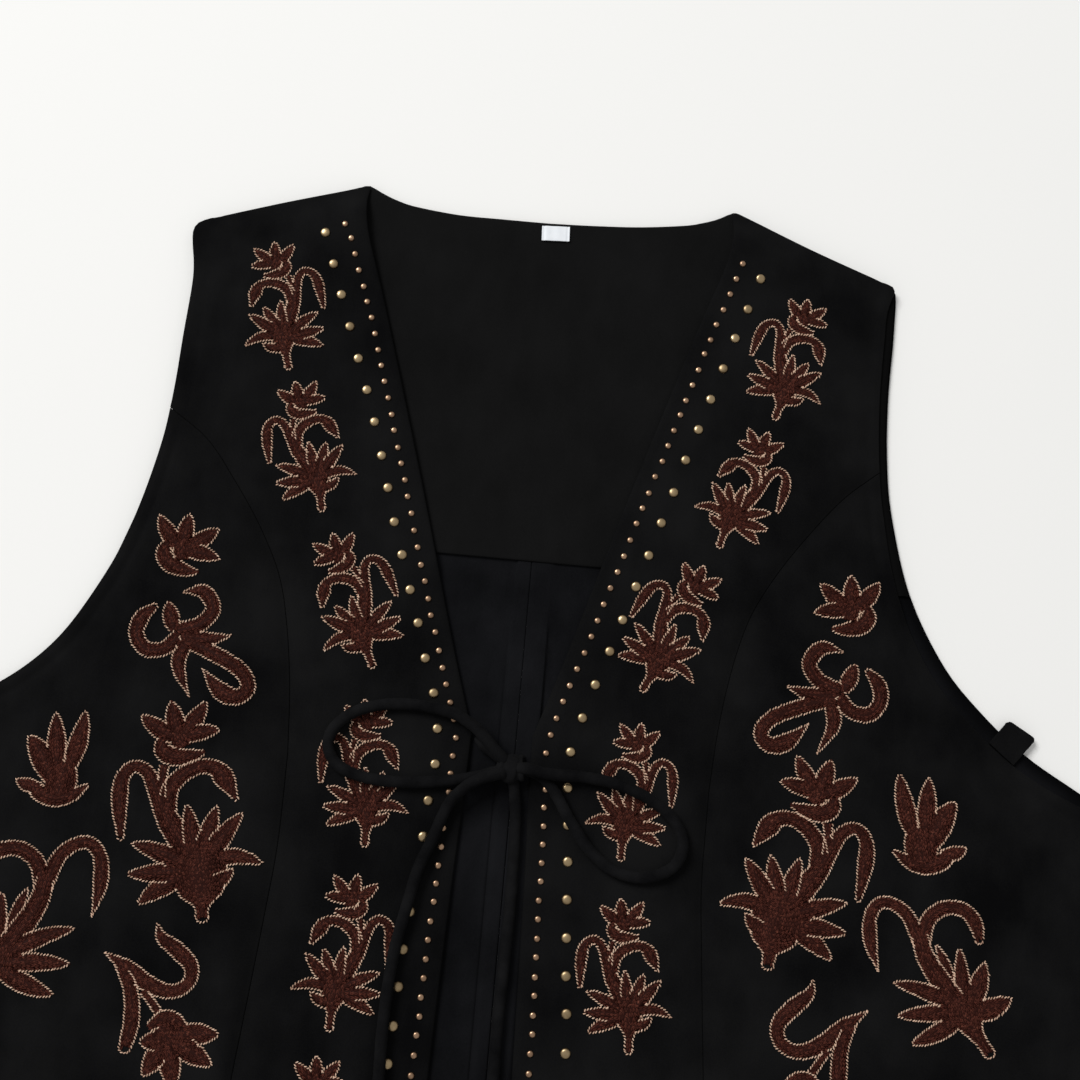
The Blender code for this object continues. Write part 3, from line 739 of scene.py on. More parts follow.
def face_outwards(piece: bpy.types.Object) -> None:
    """Turns the faces of a closed piece outwards.

    Args:
        piece: The piece.
    """
    choose(piece)
    bpy.ops.object.mode_set(mode="EDIT")
    bpy.ops.mesh.select_all(action="SELECT")
    bpy.ops.mesh.normals_make_consistent(inside=False)
    bpy.ops.object.mode_set(mode="OBJECT")


def apply_modifier(piece: bpy.types.Object, kind: str, **settings: Any) -> None:
    """Adds one modifier to the piece and applies it.

    Args:
        piece: The piece.
        kind: The modifier's type.
        **settings: Its settings.
    """
    choose(piece)
    modifier = piece.modifiers.new(kind.lower(), kind)
    for key, value in settings.items():
        setattr(modifier, key, value)
    bpy.ops.object.modifier_apply(modifier=modifier.name)


def smooth_shade(piece: bpy.types.Object, degrees: float = 60.0) -> None:
    """Shades the piece smooth where its faces meet at less than an angle.

    Args:
        piece: The piece.
        degrees: The angle.
    """
    choose(piece)
    bpy.ops.object.shade_smooth_by_angle(angle=math.radians(degrees))


def dress(
    piece: bpy.types.Object, material: bpy.types.Material, nodes: Sequence[str] = ()
) -> bpy.types.Object:
    """Gives the piece its material and body, hides the nodes that it stands for, and logs its face count.

    Args:
        piece: The piece.
        material: Its material.
        nodes: The nodes that it stands for.

    Returns:
        The same piece.
    """
    piece.data.materials.clear()
    piece.data.materials.append(material)
    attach(piece, BODY)
    if nodes:
        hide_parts(*nodes)
    LOG.info("%s: %d faces", piece.name, len(piece.data.polygons))
    return piece


def corners_of(piece: bpy.types.Object) -> np.ndarray:
    """The piece's own points.

    Args:
        piece: The piece.

    Returns:
        The points, a row each.
    """
    flat = np.empty(len(piece.data.vertices) * 3)
    piece.data.vertices.foreach_get("co", flat)
    return flat.reshape(-1, 3)


def wall(name: str, points: np.ndarray, top: np.ndarray, bottom: np.ndarray) -> bpy.types.Object:
    """A closed wall of cloth from a grid that is extruded and then laid over plan points.

    Args:
        name: The piece's name.
        points: The plan points by row and column.
        top: The outer face's heights.
        bottom: The inner face's heights.

    Returns:
        The new piece.
    """
    rows, columns = top.shape
    deselect()
    bpy.ops.mesh.primitive_grid_add(
        x_subdivisions=columns - 1, y_subdivisions=rows - 1, size=2.0, location=(0.0, 0.0, 0.0)
    )
    piece = bpy.context.object
    piece.name = piece.data.name = name
    bpy.ops.object.mode_set(mode="EDIT")
    bpy.ops.mesh.select_all(action="SELECT")
    bpy.ops.mesh.extrude_region_move(TRANSFORM_OT_translate={"value": (0.0, 0.0, 1.0)})
    bpy.ops.object.mode_set(mode="OBJECT")
    grid = corners_of(piece)
    column = np.rint((grid[:, 0] + 1.0) / 2.0 * (columns - 1)).astype(int)
    row = np.rint((grid[:, 1] + 1.0) / 2.0 * (rows - 1)).astype(int)
    z = np.where(grid[:, 2] > 0.5, top[row, column], bottom[row, column])
    laid = to_part(points[row, column, 0], points[row, column, 1], z)
    piece.data.vertices.foreach_set("co", laid.ravel())
    face_outwards(piece)
    smooth_shade(piece)
    return piece


def paint_edge_shade(piece: bpy.types.Object, line: np.ndarray, reach: float) -> None:
    """Marks how near a turned edge each of the piece's points lies, where its material paints shade.

    Args:
        piece: The piece.
        line: The edge's plan points.
        reach: How far from the edge the mark fades out, in millimetres.
    """
    x, y, _ = corners_of(piece).T / MM
    # Painted shade: 1 at the edge, fading to 0 over the reach; the cloth darkens with it.
    near = 1.0 - ease(distance_to(line, np.stack([x, LENGTH / 2 - y], axis=1)) / reach)
    piece.data.attributes.new("edge_shade", "FLOAT", "POINT").data.foreach_set("value", near)


@dataclass(frozen=True)
class Fold:
    """One soft ridge in the fronts: where it starts and ends, how wide and how high it is."""

    top_half: float
    top_down: float
    low_half: float
    low_down: float
    width: float
    height: float


FOLDS = {
    Side.LEFT: (
        Fold(126, 150, 104, 262, 9, 1.7), Fold(100, 262, 97, 400, 8, 1.4),
        Fold(74, 190, 70, 330, 13, 0.9), Fold(148, 210, 128, 330, 17, 1.6),
        Fold(190, 262, 172, 420, 22, 1.8), Fold(46, 262, 40, 430, 11, 1.4),
        Fold(128, 46, 116, 128, 18, 1.3), Fold(225, 300, 236, 470, 20, 1.4),
    ),
    Side.RIGHT: (
        Fold(131, 142, 105, 240, 9, 1.6), Fold(99, 246, 96, 420, 8, 1.3),
        Fold(76, 200, 66, 320, 13, 1.0), Fold(160, 172, 122, 300, 15, 1.9),
        Fold(205, 246, 160, 356, 18, 2.0), Fold(52, 300, 48, 470, 12, 1.0),
        Fold(126, 52, 108, 122, 17, 1.2), Fold(232, 290, 214, 450, 20, 1.6),
    ),
}


@dataclass
class FrontSurface:
    """The height of one side's fronts: rolled at closed edges, soft and lightly folded between."""

    side: Side
    roll_width: float = 13.0
    dome: float = 1.5
    edge_settle: float = 26.0
    free_edge_puff: float = 0.35
    hem_settle: float = 70.0
    hem_puff: float = 0.4
    groove_depth: float = 1.0
    groove_width: float = 2.6
    seam_ridge: float = 0.45
    neck_lift_reach: float = 22.0
    facing_step: float = 14.0
    crinkle: float = 0.3
    lip: float = 0.3
    armhole_lip: float = 0.4
    reach: tuple[float, float] = (276.0, 536.0)
    field: np.ndarray = field(init=False)

    def __post_init__(self) -> None:
        """Finds the lines that the heights depend on, and reads the heights on an even grid."""
        upper, lower = princess_line(self.side)
        self.seam = np.vstack([upper[::3], lower[::3]])
        self.armhole = armhole_line(self.side)[::4]
        cut = CUTS[self.side]
        shoulder = smooth_line(plan(self.side, cut.shoulder))[::4]
        self.closed = np.vstack([shoulder, self.armhole, side_seam(self.side)])
        free = Rail(*(plan(self.side, edge) for edge in (cut.neck_edge, V_EDGE, FRONT_EDGE)))
        self.free = free.points()[::3]
        width, length = (int(value) for value in self.reach)
        x, down = np.meshgrid(np.arange(width) * float(self.side.value), np.arange(length, dtype=float))
        heights = self.under(np.stack([x.ravel(), down.ravel()], axis=1)) + CLOTH
        self.field = heights.reshape(length, width)

    def under(self, points: np.ndarray) -> np.ndarray:
        """The height of the inner face at plan points.

        Args:
            points: The plan points.

        Returns:
            The heights.
        """
        base = CLOTH + SEAM_GAP
        past_facing = ease((points[:, 1] - FACING_DEPTH - 2.0) / self.facing_step)
        base = base + (FACING_CLOTH + SEAM_GAP) * (1.0 - past_facing)
        free = distance_to(self.free, points)
        roll = ease(distance_to(self.closed, points) / self.roll_width)
        settle = self.free_edge_puff + (1.0 - self.free_edge_puff) * ease(free / self.edge_settle)
        hem = self.hem_puff + (1.0 - self.hem_puff) * ease((LENGTH - points[:, 1]) / self.hem_settle)
        ridges = sum(self.ridge(fold, points) for fold in FOLDS[self.side])
        waves = ripples(points, SEED + self.side.value, 52.0) + 0.45 * ripples(points, 5, 21.0)
        puff = (self.dome + ridges + self.crinkle * waves) * settle * hem
        seam = distance_to(self.seam, points)
        groove = self.groove_depth * bell(seam, self.groove_width) - self.seam_ridge * bell(seam - 8.0, 4.0)
        neck = points - (self.side.value * NECK_HALF, 16.0)
        lift = CUTS[self.side].neck_lift * bell(np.hypot(neck[:, 0], neck[:, 1]), self.neck_lift_reach)
        arm = distance_to(self.armhole, points)
        rim = self.armhole_lip * (bell(arm - 2.8, 1.5) - bell(arm - 6.2, 1.3))
        return base + roll * (puff + lift - groove) + rim + self.lip * bell(free - 2.4, 1.7)

    def ridge(self, fold: Fold, points: np.ndarray) -> np.ndarray:
        """How high one soft fold stands at plan points, fading out past both its ends.

        Args:
            fold: The fold.
            points: The plan points.

        Returns:
            The heights.
        """
        top = np.array([self.side.value * fold.top_half, fold.top_down])
        span = np.array([self.side.value * fold.low_half, fold.low_down]) - top
        share = (points - top) @ span / float(span @ span)
        aside = points - top - share[:, None] * span
        fade = ease(share / 0.5 + 0.5) * ease((1.0 - share) / 0.5 + 0.5)
        return fold.height * fade * bell(np.hypot(aside[:, 0], aside[:, 1]), fold.width)

    def outer(self, points: np.ndarray) -> np.ndarray:
        """The height of the outer face at plan points, read between the even grid's points.

        Args:
            points: The plan points.

        Returns:
            The heights.
        """
        length, width = self.field.shape
        u = np.clip(points[:, 0] * self.side.value, 0.0, width - 1.001)
        v = np.clip(points[:, 1], 0.0, length - 1.001)
        column, row = u.astype(int), v.astype(int)
        right, low = u - column, v - row
        near = self.field[row, column] * (1 - right) + self.field[row, column + 1] * right
        far = self.field[row + 1, column] * (1 - right) + self.field[row + 1, column + 1] * right
        return near * (1 - low) + far * low


@dataclass
class Fronts:
    """One side's two front panels, joined at the curved seam."""

    side: Side
    surface: FrontSurface
    cloth: bpy.types.Material
    step: float = 2.3
    top_round: float = 0.8
    inner_round: float = 0.5
    seam_round: float = 0.4
    corner_press: float = 0.85
    corner_reach: float = 6.5
    centre_runs: tuple[float, float, float] = (86.0, 160.0, 296.0)
    centre_width: float = 78.0
    side_runs: tuple[float, float] = (165.0, 281.0)
    side_width: float = 160.0
    centre_flat: tuple[float, float, float] = (0.140, 0.530, 0.0455)
    side_flat: tuple[float, float, float] = (0.185, 0.424, 0.0618)

    def shell(
        self, name: str, points: np.ndarray, rails: Sequence[np.ndarray], seams: Sequence[np.ndarray]
    ) -> bpy.types.Object:
        """One panel as a thin closed shell with softly rounded edges.

        Args:
            name: The piece's name.
            points: The plan points by row and column.
            rails: The panel's finished edges.
            seams: The edge that is sewn to the other panel.

        Returns:
            The new piece.
        """
        flat = points.reshape(-1, 2)
        edge, seam = nearest_of(rails, flat), nearest_of(seams, flat)
        under = self.surface.under(flat)
        corner = plan(self.side, CUTS[self.side].shoulder[:1])[0]
        share = 1.0 - self.corner_press / CLOTH * bell(np.hypot(*(flat - corner).T), self.corner_reach)
        rounded = np.maximum(round_off(edge, self.top_round), round_off(seam, self.seam_round))
        top = under + (CLOTH - rounded) * share
        bottom = under + round_off(edge, self.inner_round) * ease(seam / 1.5) * share
        size = points.shape[:2]
        return wall(name, points, top.reshape(size), bottom.reshape(size))

    def centre(self) -> bpy.types.Object:
        """Builds the panel beside the neck and the front edge.

        Returns:
            The new piece.
        """
        side = self.side
        armhole = split_at_down(armhole_line(side), PRINCESS_TOP)[0]
        upper, lower = (shifted(line, side.value * STITCHED_GAP) for line in princess_line(side))
        lower[0] = upper[-1]
        armhole = np.vstack([armhole[:-1], upper[0]])
        cut = CUTS[side]
        inner = Rail(plan(side, cut.neck_edge), plan(side, V_EDGE), plan(side, FRONT_EDGE))
        outer = Rail(armhole, upper, lower)
        top = Rail(plan(side, cut.shoulder))
        bottom = Rail(np.vstack([inner.at([3.0]), outer.at([3.0])]))
        down = stations_along(self.centre_runs, self.step)
        points = patch((top, bottom, inner, outer), stations_along([self.centre_width], self.step), down)
        edges = [top.points(), inner.points()[::2], armhole[::2], bottom.points()]
        piece = self.shell(f"front_centre_{side.word}_cloth", points, edges, [upper, lower])
        dress(piece, self.cloth, [f"front_centre_{side.word}"])
        return piece

    def side_panel(self) -> bpy.types.Object:
        """Builds the panel beside the armhole and the side seam.

        Returns:
            The new piece.
        """
        side = self.side
        armhole = split_at_down(armhole_line(side), PRINCESS_TOP)[1]
        upper, lower = (shifted(line, -side.value * STITCHED_GAP) for line in princess_line(side))
        lower[0] = upper[-1]
        inner, outer = Rail(upper, lower), Rail(armhole, side_seam(side))
        top = Rail(np.vstack([inner.at([TIP_SHARE]), outer.at([TIP_SHARE])]))
        bottom = Rail(np.vstack([inner.at([2.0]), outer.at([2.0])]))
        down = stations_along(self.side_runs, self.step)
        down = np.concatenate([[TIP_SHARE], down[down > TIP_SHARE + 0.001]])
        points = patch((top, bottom, inner, outer), stations_along([self.side_width], self.step), down)
        edges = [outer.points()[::2], bottom.points()]
        piece = self.shell(f"front_side_{side.word}_cloth", points, edges, [upper, lower])
        dress(piece, self.cloth, [f"front_side_{side.word}"])
        return piece


@dataclass
class Backs:
    """The two halves of the back, whose inside shows in the neck opening."""

    cloth: bpy.types.Material
    step: float = 3.6
    allowances: tuple[float, float] = (6.0, 9.2)
    allowance_rise: float = 1.0
    trough: float = 0.45
    top_round: float = 0.6
    under_round: float = 0.3
    edge_shade_reach: float = 9.0
    runs: tuple[float, float, float] = (152.0, 90.0, 280.0)
    outer_width: float = 110.0
    flat: tuple[float, float, float] = (0.268, 0.530, 0.1135)

    def half(self, side: Side) -> bpy.types.Object:
        """Builds one half, flat below, with its seam allowance pressed open beside the seam.

        Args:
            side: Which half.

        Returns:
            The new piece.
        """
        cut = CUTS[side]
        gap = side.value * STITCHED_GAP / 2
        levels = (cut.neck_curve[0][1], FACING_DEPTH + 2.0, armhole_line(side)[-1][1], LENGTH)
        seam = [(float(centre_back(level)) + gap, level) for level in levels]
        neck = np.vstack([seam[0], plan(side, cut.neck_curve[1:])])
        top = Rail(neck, plan(side, cut.back_shoulder))
        middle = (side.value * BACK_PANEL_HALF, LENGTH)
        bottom = Rail([seam[3], middle], [middle, (side.value * HEM_HALF, LENGTH)])
        inner = Rail(seam[0:2], seam[1:3], seam[2:4])
        outer = Rail(*split_at_down(back_armhole(side), FACING_DEPTH + 2.0), side_seam(side))
        width = (NECK_HALF + BACK_PANEL_HALF) / 2
        allowance = self.allowances[0 if side is Side.LEFT else 1]
        ledge = allowance + np.array([-1.4, -0.6, -0.3, -0.1, 0.1, 0.3, 0.6, 1.0, 1.6])
        inside = shares(width, self.step, True, False)
        near, far = inside * width < allowance - 2.0, inside * width > allowance + 2.4
        inside = np.concatenate([inside[near], ledge / width, inside[far]])
        across = chained(inside, shares(self.outer_width, self.step, False, True))
        points = patch((top, bottom, inner, outer), across, stations_along(self.runs, self.step))
        flat = points.reshape(-1, 2)
        edges = [rail.points()[::2] for rail in (top, outer)] + [inner.points(), bottom.points()]
        edge = nearest_of(edges, flat)
        aside = side.value * (flat[:, 0] - centre_back(flat[:, 1]))
        fade = ease((flat[:, 1] - FACING_DEPTH) / 2.0)
        ledge_share = (1.0 - ease((aside - allowance + 0.2) / 0.4)) * fade
        trough = self.trough * bell(aside - allowance - 0.9, 0.5) * fade
        top_face = CLOTH + self.allowance_rise * ledge_share - trough - round_off(edge, self.top_round)
        size = points.shape[:2]
        bottom_face = round_off(edge, self.under_round)
        piece = wall(f"back_{side.word}_cloth", points, top_face.reshape(size), bottom_face.reshape(size))
        # Painted shade darkens the back near its armhole edge.
        paint_edge_shade(piece, back_armhole(side)[::2], self.edge_shade_reach)
        dress(piece, self.cloth, [f"back_{side.word}"])
        width, length, area = self.flat
        return piece


@dataclass
class NeckFacing:
    """The deep facing over the back's upper inside."""

    cloth: bpy.types.Material
    inset: float = 1.2
    neck_inset: float = 0.5
    step: float = 3.0
    edge_shade_reach: float = 9.0
    widths: tuple[float, float, float, float] = (72.0, 81.0, 81.0, 72.0)
    depth: float = 148.0
    flat: tuple[float, float, float] = (0.320, 0.160, 0.0438)

    def build(self) -> bpy.types.Object:
        """Builds the facing, its lower edge straight across.

        Returns:
            The new piece.
        """
        shoulders, armholes, necks = {}, {}, {}
        for side in Side:
            line = split_at_down(back_armhole(side), FACING_DEPTH)[0]
            moved = shifted(line, side.value * self.inset)
            shoulder = plan(side, CUTS[side].back_shoulder) + (0.0, self.inset)
            moved[0] = shoulder[-1] - (side.value * self.inset, 0.0)
            moved[-1] = (moved[-1][0], FACING_DEPTH)
            shoulder[-1] = moved[0]
            shoulders[side], armholes[side] = shoulder, moved
            neck = plan(side, CUTS[side].neck_curve[1:-1]) + (0.0, self.neck_inset)
            necks[side] = np.vstack([neck, shoulder[0]])
        middle = np.array([0.0, CUTS[Side.LEFT].neck_curve[0][1] + self.neck_inset])
        left, right = Side.LEFT, Side.RIGHT
        top = Rail(
            shoulders[left][::-1],
            np.vstack([necks[left][::-1], middle]),
            np.vstack([middle, necks[right]]),
            shoulders[right],
        )
        low = [(share * NECK_HALF, FACING_DEPTH) for share in (-1.0, 0.0, 1.0)]
        bottom = Rail([armholes[left][-1], low[0]], low[0:2], low[1:3], [low[2], armholes[right][-1]])
        rails = (top, bottom, Rail(armholes[left]), Rail(armholes[right]))
        across = stations_along(self.widths, self.step)
        points = patch(rails, across, stations_along([self.depth], self.step))
        flat = points.reshape(-1, 2)
        edge = nearest_of([rail.points()[::2] for rail in rails], flat)
        base = CLOTH + SEAM_GAP
        top_face = base + FACING_CLOTH - round_off(edge, 0.6) + 0.1 * ripples(flat, 3, 70.0)
        bottom_face = base + round_off(edge, 0.4)
        size = points.shape[:2]
        piece = wall("back_neck_facing_cloth", points, top_face.reshape(size), bottom_face.reshape(size))
        # Painted shade darkens the facing near the right armhole edge.
        paint_edge_shade(piece, back_armhole(Side.RIGHT)[::2], self.edge_shade_reach)
        dress(piece, self.cloth, ["back_neck_facing"])
        return piece


def spindle(length: float, width: float, height: float, sides: int) -> Model:
    """One stitch's strand, modelled as a stretched ball with few faces.

    Args:
        length: Its length in millimetres, along x.
        width: Its width across.
        height: Its height.
        sides: How many sides it has round its length.

    Returns:
        Its points in millimetres, and its faces.
    """
    deselect()
    bpy.ops.mesh.primitive_uv_sphere_add(segments=sides, ring_count=3, radius=1.0)
    ball = bpy.context.object
    bpy.ops.object.mode_set(mode="EDIT")
    bpy.ops.mesh.select_all(action="SELECT")
    bpy.ops.transform.resize(value=(height / 2, width / 2, length / 2))
    bpy.ops.object.mode_set(mode="OBJECT")
    turned = Matrix.Rotation(math.pi / 2, 3, "Y")
    points = np.array([turned @ vertex.co for vertex in ball.data.vertices])
    faces = [tuple(polygon.vertices) for polygon in ball.data.polygons]
    bpy.data.objects.remove(ball, do_unlink=True)
    return points, faces


class Pile:
    """Many small closed shapes that are joined into one piece."""

    def __init__(self) -> None:
        """Starts empty."""
        self.points: list[np.ndarray] = []
        self.corners: list[np.ndarray] = []
        self.sizes: list[np.ndarray] = []
        self.tones: list[np.ndarray] = []
        self.rims: list[np.ndarray] = []
        self.count = 0

    def add(
        self, points: np.ndarray, corners: np.ndarray, sizes: np.ndarray, tone: Any, rim: Any = 0.0
    ) -> None:
        """Adds shapes.

        Args:
            points: Their points, x, down and z.
            corners: Their faces' corners, one face after another.
            sizes: How many corners each face has.
            tone: How light each point's thread or metal is.
            rim: How near a stud's rim each point is.
        """
        self.points.append(points)
        self.corners.append(corners + self.count)
        self.sizes.append(sizes)
        self.tones.append(np.broadcast_to(tone, len(points)))
        self.rims.append(np.broadcast_to(rim, len(points)))
        self.count += len(points)

    def scatter(
        self, model: Model, places: np.ndarray, directions: np.ndarray, surface: FrontSurface,
        sway: float = 0.0, rim: Any = 0.0, jitter: float = 0.0,
    ) -> None:
        """Copies one small model along a front's surface.

        Args:
            model: The model's points, in millimetres with x along it, and its faces.
            places: Where each copy's middle lies in plan.
            directions: Each copy's direction in plan.
            surface: The front that the copies lie on.
            sway: How far each copy turns at random, in degrees.
            rim: How near a stud's rim each of the model's points is.
            jitter: How far each copy strays at random, in millimetres.
        """
        points, faces = model
        count, size = len(places), len(points)
        random = np.random.default_rng(SEED + count)
        angle = np.arctan2(directions[:, 1], directions[:, 0]) + np.radians(random.normal(0.0, sway, count))
        places = places + random.normal(0.0, jitter, places.shape)
        unit = np.stack([np.cos(angle), np.sin(angle)], axis=1)
        aside = np.stack([-unit[:, 1], unit[:, 0]], axis=1)
        flat = places[:, None] + points[None, :, :1] * unit[:, None] - points[None, :, 1:2] * aside[:, None]
        flat = flat.reshape(-1, 2)
        z = surface.outer(flat) + np.tile(points[:, 2], count)
        corners = np.concatenate([np.array(face) for face in faces])
        corners = (corners[None] + (np.arange(count) * size)[:, None]).ravel()
        sizes = np.tile(np.array([len(face) for face in faces]), count)
        tones = np.repeat(random.random(count), size)
        rims = np.tile(np.broadcast_to(rim, size), count)
        self.add(np.column_stack([flat, z]), corners, sizes, tones, rims)

    def piece(self, name: str) -> bpy.types.Object:
        """Makes the joined piece, with each point's tone and rim as attributes.

        Args:
            name: The piece's name.

        Returns:
            The new piece.
        """
        points = np.vstack(self.points)
        corners, sizes = np.concatenate(self.corners), np.concatenate(self.sizes)
        mesh = bpy.data.meshes.new(name)
        mesh.vertices.add(len(points))
        mesh.vertices.foreach_set("co", to_part(*points.T).ravel())
        mesh.loops.add(len(corners))
        mesh.loops.foreach_set("vertex_index", corners)
        mesh.polygons.add(len(sizes))
        mesh.polygons.foreach_set("loop_start", np.concatenate([[0], np.cumsum(sizes)[:-1]]))
        mesh.update(calc_edges=True)
        mesh.validate()
        for key, numbers in (("tone", self.tones), ("rim", self.rims)):
            mesh.attributes.new(key, "FLOAT", "POINT").data.foreach_set("value", np.concatenate(numbers))
        mesh.shade_smooth()
        piece = bpy.data.objects.new(name, mesh)
        bpy.context.scene.collection.objects.link(piece)
        return piece


@dataclass(frozen=True)
class Blade:
    """A petal, leaf, stem or scroll: a line through a few points with a half width at each.

    The widths are millimetres. Crease is the share of the line past which one side's outline is
    stitched over the neighbouring blades too, and cap is the end that is stitched round, if one is.
    """

    line: tuple[tuple[float, float], ...]
    widths: tuple[float, ...]
    crease: float = 1.0
    cap: int | None = None

    def outline(self) -> Outline:
        """The blade's middle line, its half widths, its left normals and its shares along.

        Returns:
            The four arrays, with a row for each point of the line.
        """
        knots = np.column_stack([np.array(self.line), self.widths])
        rows = smooth_line(knots, 10)
        run = run_of(rows[:, :2])
        goals = np.linspace(0.0, run[-1], max(12, int(run[-1] / 0.6)))
        rows = np.stack([np.interp(goals, run, rows[:, axis]) for axis in range(3)], axis=1)
        travel = heading(rows[:, :2])
        normal = np.stack([-travel[:, 1], travel[:, 0]], axis=1)
        return rows[:, :2], np.maximum(rows[:, 2], 0.0), normal, goals / run[-1]


PETAL_PROFILE = ((0.0, 0.5), (0.25, 0.9), (0.5, 1.0), (0.75, 0.76), (0.93, 0.34), (1.0, 0.0))
PETAL_CREASE = 0.42


def petals(heart: tuple[float, float], rows: Sequence[tuple], size: float = 1.0) -> list[Blade]:
    """Pointed petals or leaves that spread from a heart.

    Args:
        heart: Where they spread from.
        rows: Each one's tip, its half width at the widest, and how far its middle bows to the left of
            its way out, as a share of its length.
        size: What every measure is multiplied by.

    Returns:
        The blades.
    """
    blades = []
    start = np.array(heart)
    for tip, width, bend in rows:
        span = np.array(tip) - start
        normal = np.array([-span[1], span[0]])
        line = [
            tuple(size * (start + span * share + normal * bend * 4.0 * share * (1.0 - share)))
            for share, _ in PETAL_PROFILE
        ]
        widths = tuple(size * width * part for _, part in PETAL_PROFILE)
        blades.append(Blade(tuple(line), widths, PETAL_CREASE))
    return blades


def bands(rows: Sequence[tuple], size: float = 1.0) -> list[Blade]:
    """Stems, hooks and bodies.

    Args:
        rows: Each one's line, its half widths, its crease and its cap.
        size: What every measure is multiplied by.

    Returns:
        The blades.
    """
    blades = []
    for line, widths, crease, cap in rows:
        places = tuple((x * size, y * size) for x, y in line)
        blades.append(Blade(places, tuple(width * size for width in widths), crease, cap))
    return blades


def blossom(size: float) -> list[Blade]:
    """An open flower with four petals over a rounded cup, above a foot at the origin.

    Args:
        size: What every measure is multiplied by.

    Returns:
        The blades.
    """
    cup = (
        (((0.115, 0.742), (0.05, 0.737), (-0.025, 0.748), (-0.068, 0.788), (-0.062, 0.845)),
         (0.010, 0.030, 0.040, 0.038, 0.02), 1.0, None),
        (((0.03, 0.78), (0.01, 0.82), (0.0, 0.87)), (0.035, 0.04, 0.025), 1.0, None),
    )
    tips = (
        ((0.158, 0.968), 0.040, -0.03), ((0.0, 1.0), 0.042, 0.0), ((-0.141, 0.96), 0.040, 0.04),
        ((0.20, 0.827), 0.036, 0.05),
    )
    return bands(cup, size) + petals((0.01, 0.821), tips, size)


SMALL_STALK = (
    ((0.0, 0.0), (0.004, 0.05), (0.008, 0.092), (0.012, 0.135), (0.017, 0.20), (0.02, 0.30)),
    (0.026, 0.026, 0.029, 0.052, 0.085, 0.06),
)
GREAT_STALK = (
    (
        (0.0, 0.018), (0.004, 0.05), (0.008, 0.075), (0.012, 0.115), (0.017, 0.175), (0.02, 0.25),
        (0.02, 0.32),
    ),
    (0.028, 0.029, 0.040, 0.09, 0.118, 0.12, 0.07),
)


def fan(size: float, stalk: tuple) -> list[Blade]:
    """The fan of pointed leaves at the foot of a spray, with its short stalk.

    Args:
        size: The spray's height.
        stalk: The stalk's line and its half widths.

    Returns:
        The blades.
    """
    leaves = (
        ((0.300, 0.198), 0.036, 0.17), ((0.247, 0.438), 0.044, 0.03), ((0.137, 0.492), 0.043, 0.02),
        ((0.004, 0.525), 0.041, 0.0), ((-0.263, 0.401), 0.042, -0.03), ((-0.302, 0.270), 0.042, 0.0),
        ((-0.273, 0.130), 0.044, -0.06),
    )
    lobe = petals((0.0, 0.16), [((0.169, 0.205), 0.036, -0.14)], size)
    return bands(((*stalk, 1.0, 0),), size) + petals((0.017, 0.222), leaves, size) + lobe


def spray(size: float, stalk: tuple) -> list[Blade]:
    """A flowering spray: a fan of leaves, a stem with two drooping leaves, and a flower.

    Args:
        size: The spray's height.
        stalk: The stalk's line and its half widths.

    Returns:
        The blades.
    """
    stems = (
        (((0.0, 0.28), (-0.05, 0.39), (-0.092, 0.49), (-0.118, 0.60), (-0.150, 0.70), (-0.207, 0.737),
          (-0.266, 0.697), (-0.293, 0.60), (-0.309, 0.436)),
         (0.06, 0.055, 0.047, 0.038, 0.030, 0.027, 0.032, 0.037, 0.014), 1.0, -1),
        (((-0.085, 0.50), (-0.06, 0.60), (0.0, 0.655), (0.076, 0.680), (0.145, 0.665), (0.188, 0.607),
          (0.225, 0.509)), (0.040, 0.038, 0.036, 0.033, 0.034, 0.046, 0.010), 0.14, -1),
        (((-0.070, 0.715), (-0.09, 0.65), (-0.108, 0.57)), (0.022, 0.019, 0.022), 0.05, None),
    )
    return fan(size, stalk) + bands(stems, size) + blossom(size)


def sprig(size: float) -> list[Blade]:
    """A flower alone, round its own middle.

    Args:
        size: What every measure is multiplied by.

    Returns:
        The blades.
    """
    return [
        Blade(tuple((x, y - 0.821 * size) for x, y in blade.line), blade.widths, blade.crease)
        for blade in blossom(size)
    ]


def scroll() -> list[Blade]:
    """A branching scroll with two hooks, a curled leaf and spurs.

    Returns:
        The blades.
    """
    rows = (
        (((-9.3, 3.3), (-4.0, 5.4), (0.6, 8.2), (3.8, 14.5), (-1.8, 21.0), (-10.5, 19.3)),
         (3.0, 3.1, 3.1, 3.1, 2.8, 0.0), 1.0, None),
        (((-8.0, 1.0), (-13.0, -5.0), (-20.5, -6.2), (-25.4, -0.5), (-24.6, 6.4), (-20.5, 11.5)),
         (3.0, 2.9, 3.0, 3.0, 3.1, 1.4), 1.0, -1),
        (((-6.8, 1.0), (4.5, 1.8), (13.8, 4.8)), (3.4, 2.7, 0.0), 0.3, None),
        (((-7.5, 0.5), (-0.5, -1.2), (7.0, -3.5), (19.5, -8.5), (24.4, -14.8), (21.0, -19.6), (13.3, -18.1),
          (4.3, -10.5)), (3.6, 3.2, 3.1, 3.0, 2.9, 3.1, 3.4, 0.0), 0.2, None),
        (((-4.3, 0.0), (-5.8, -10.5), (1.3, -22.8)), (2.7, 2.8, 0.0), 0.25, None),
    )
    return bands(rows) + petals((-10.5, 3.0), [((-15.5, 14.5), 3.3, 0.0)])


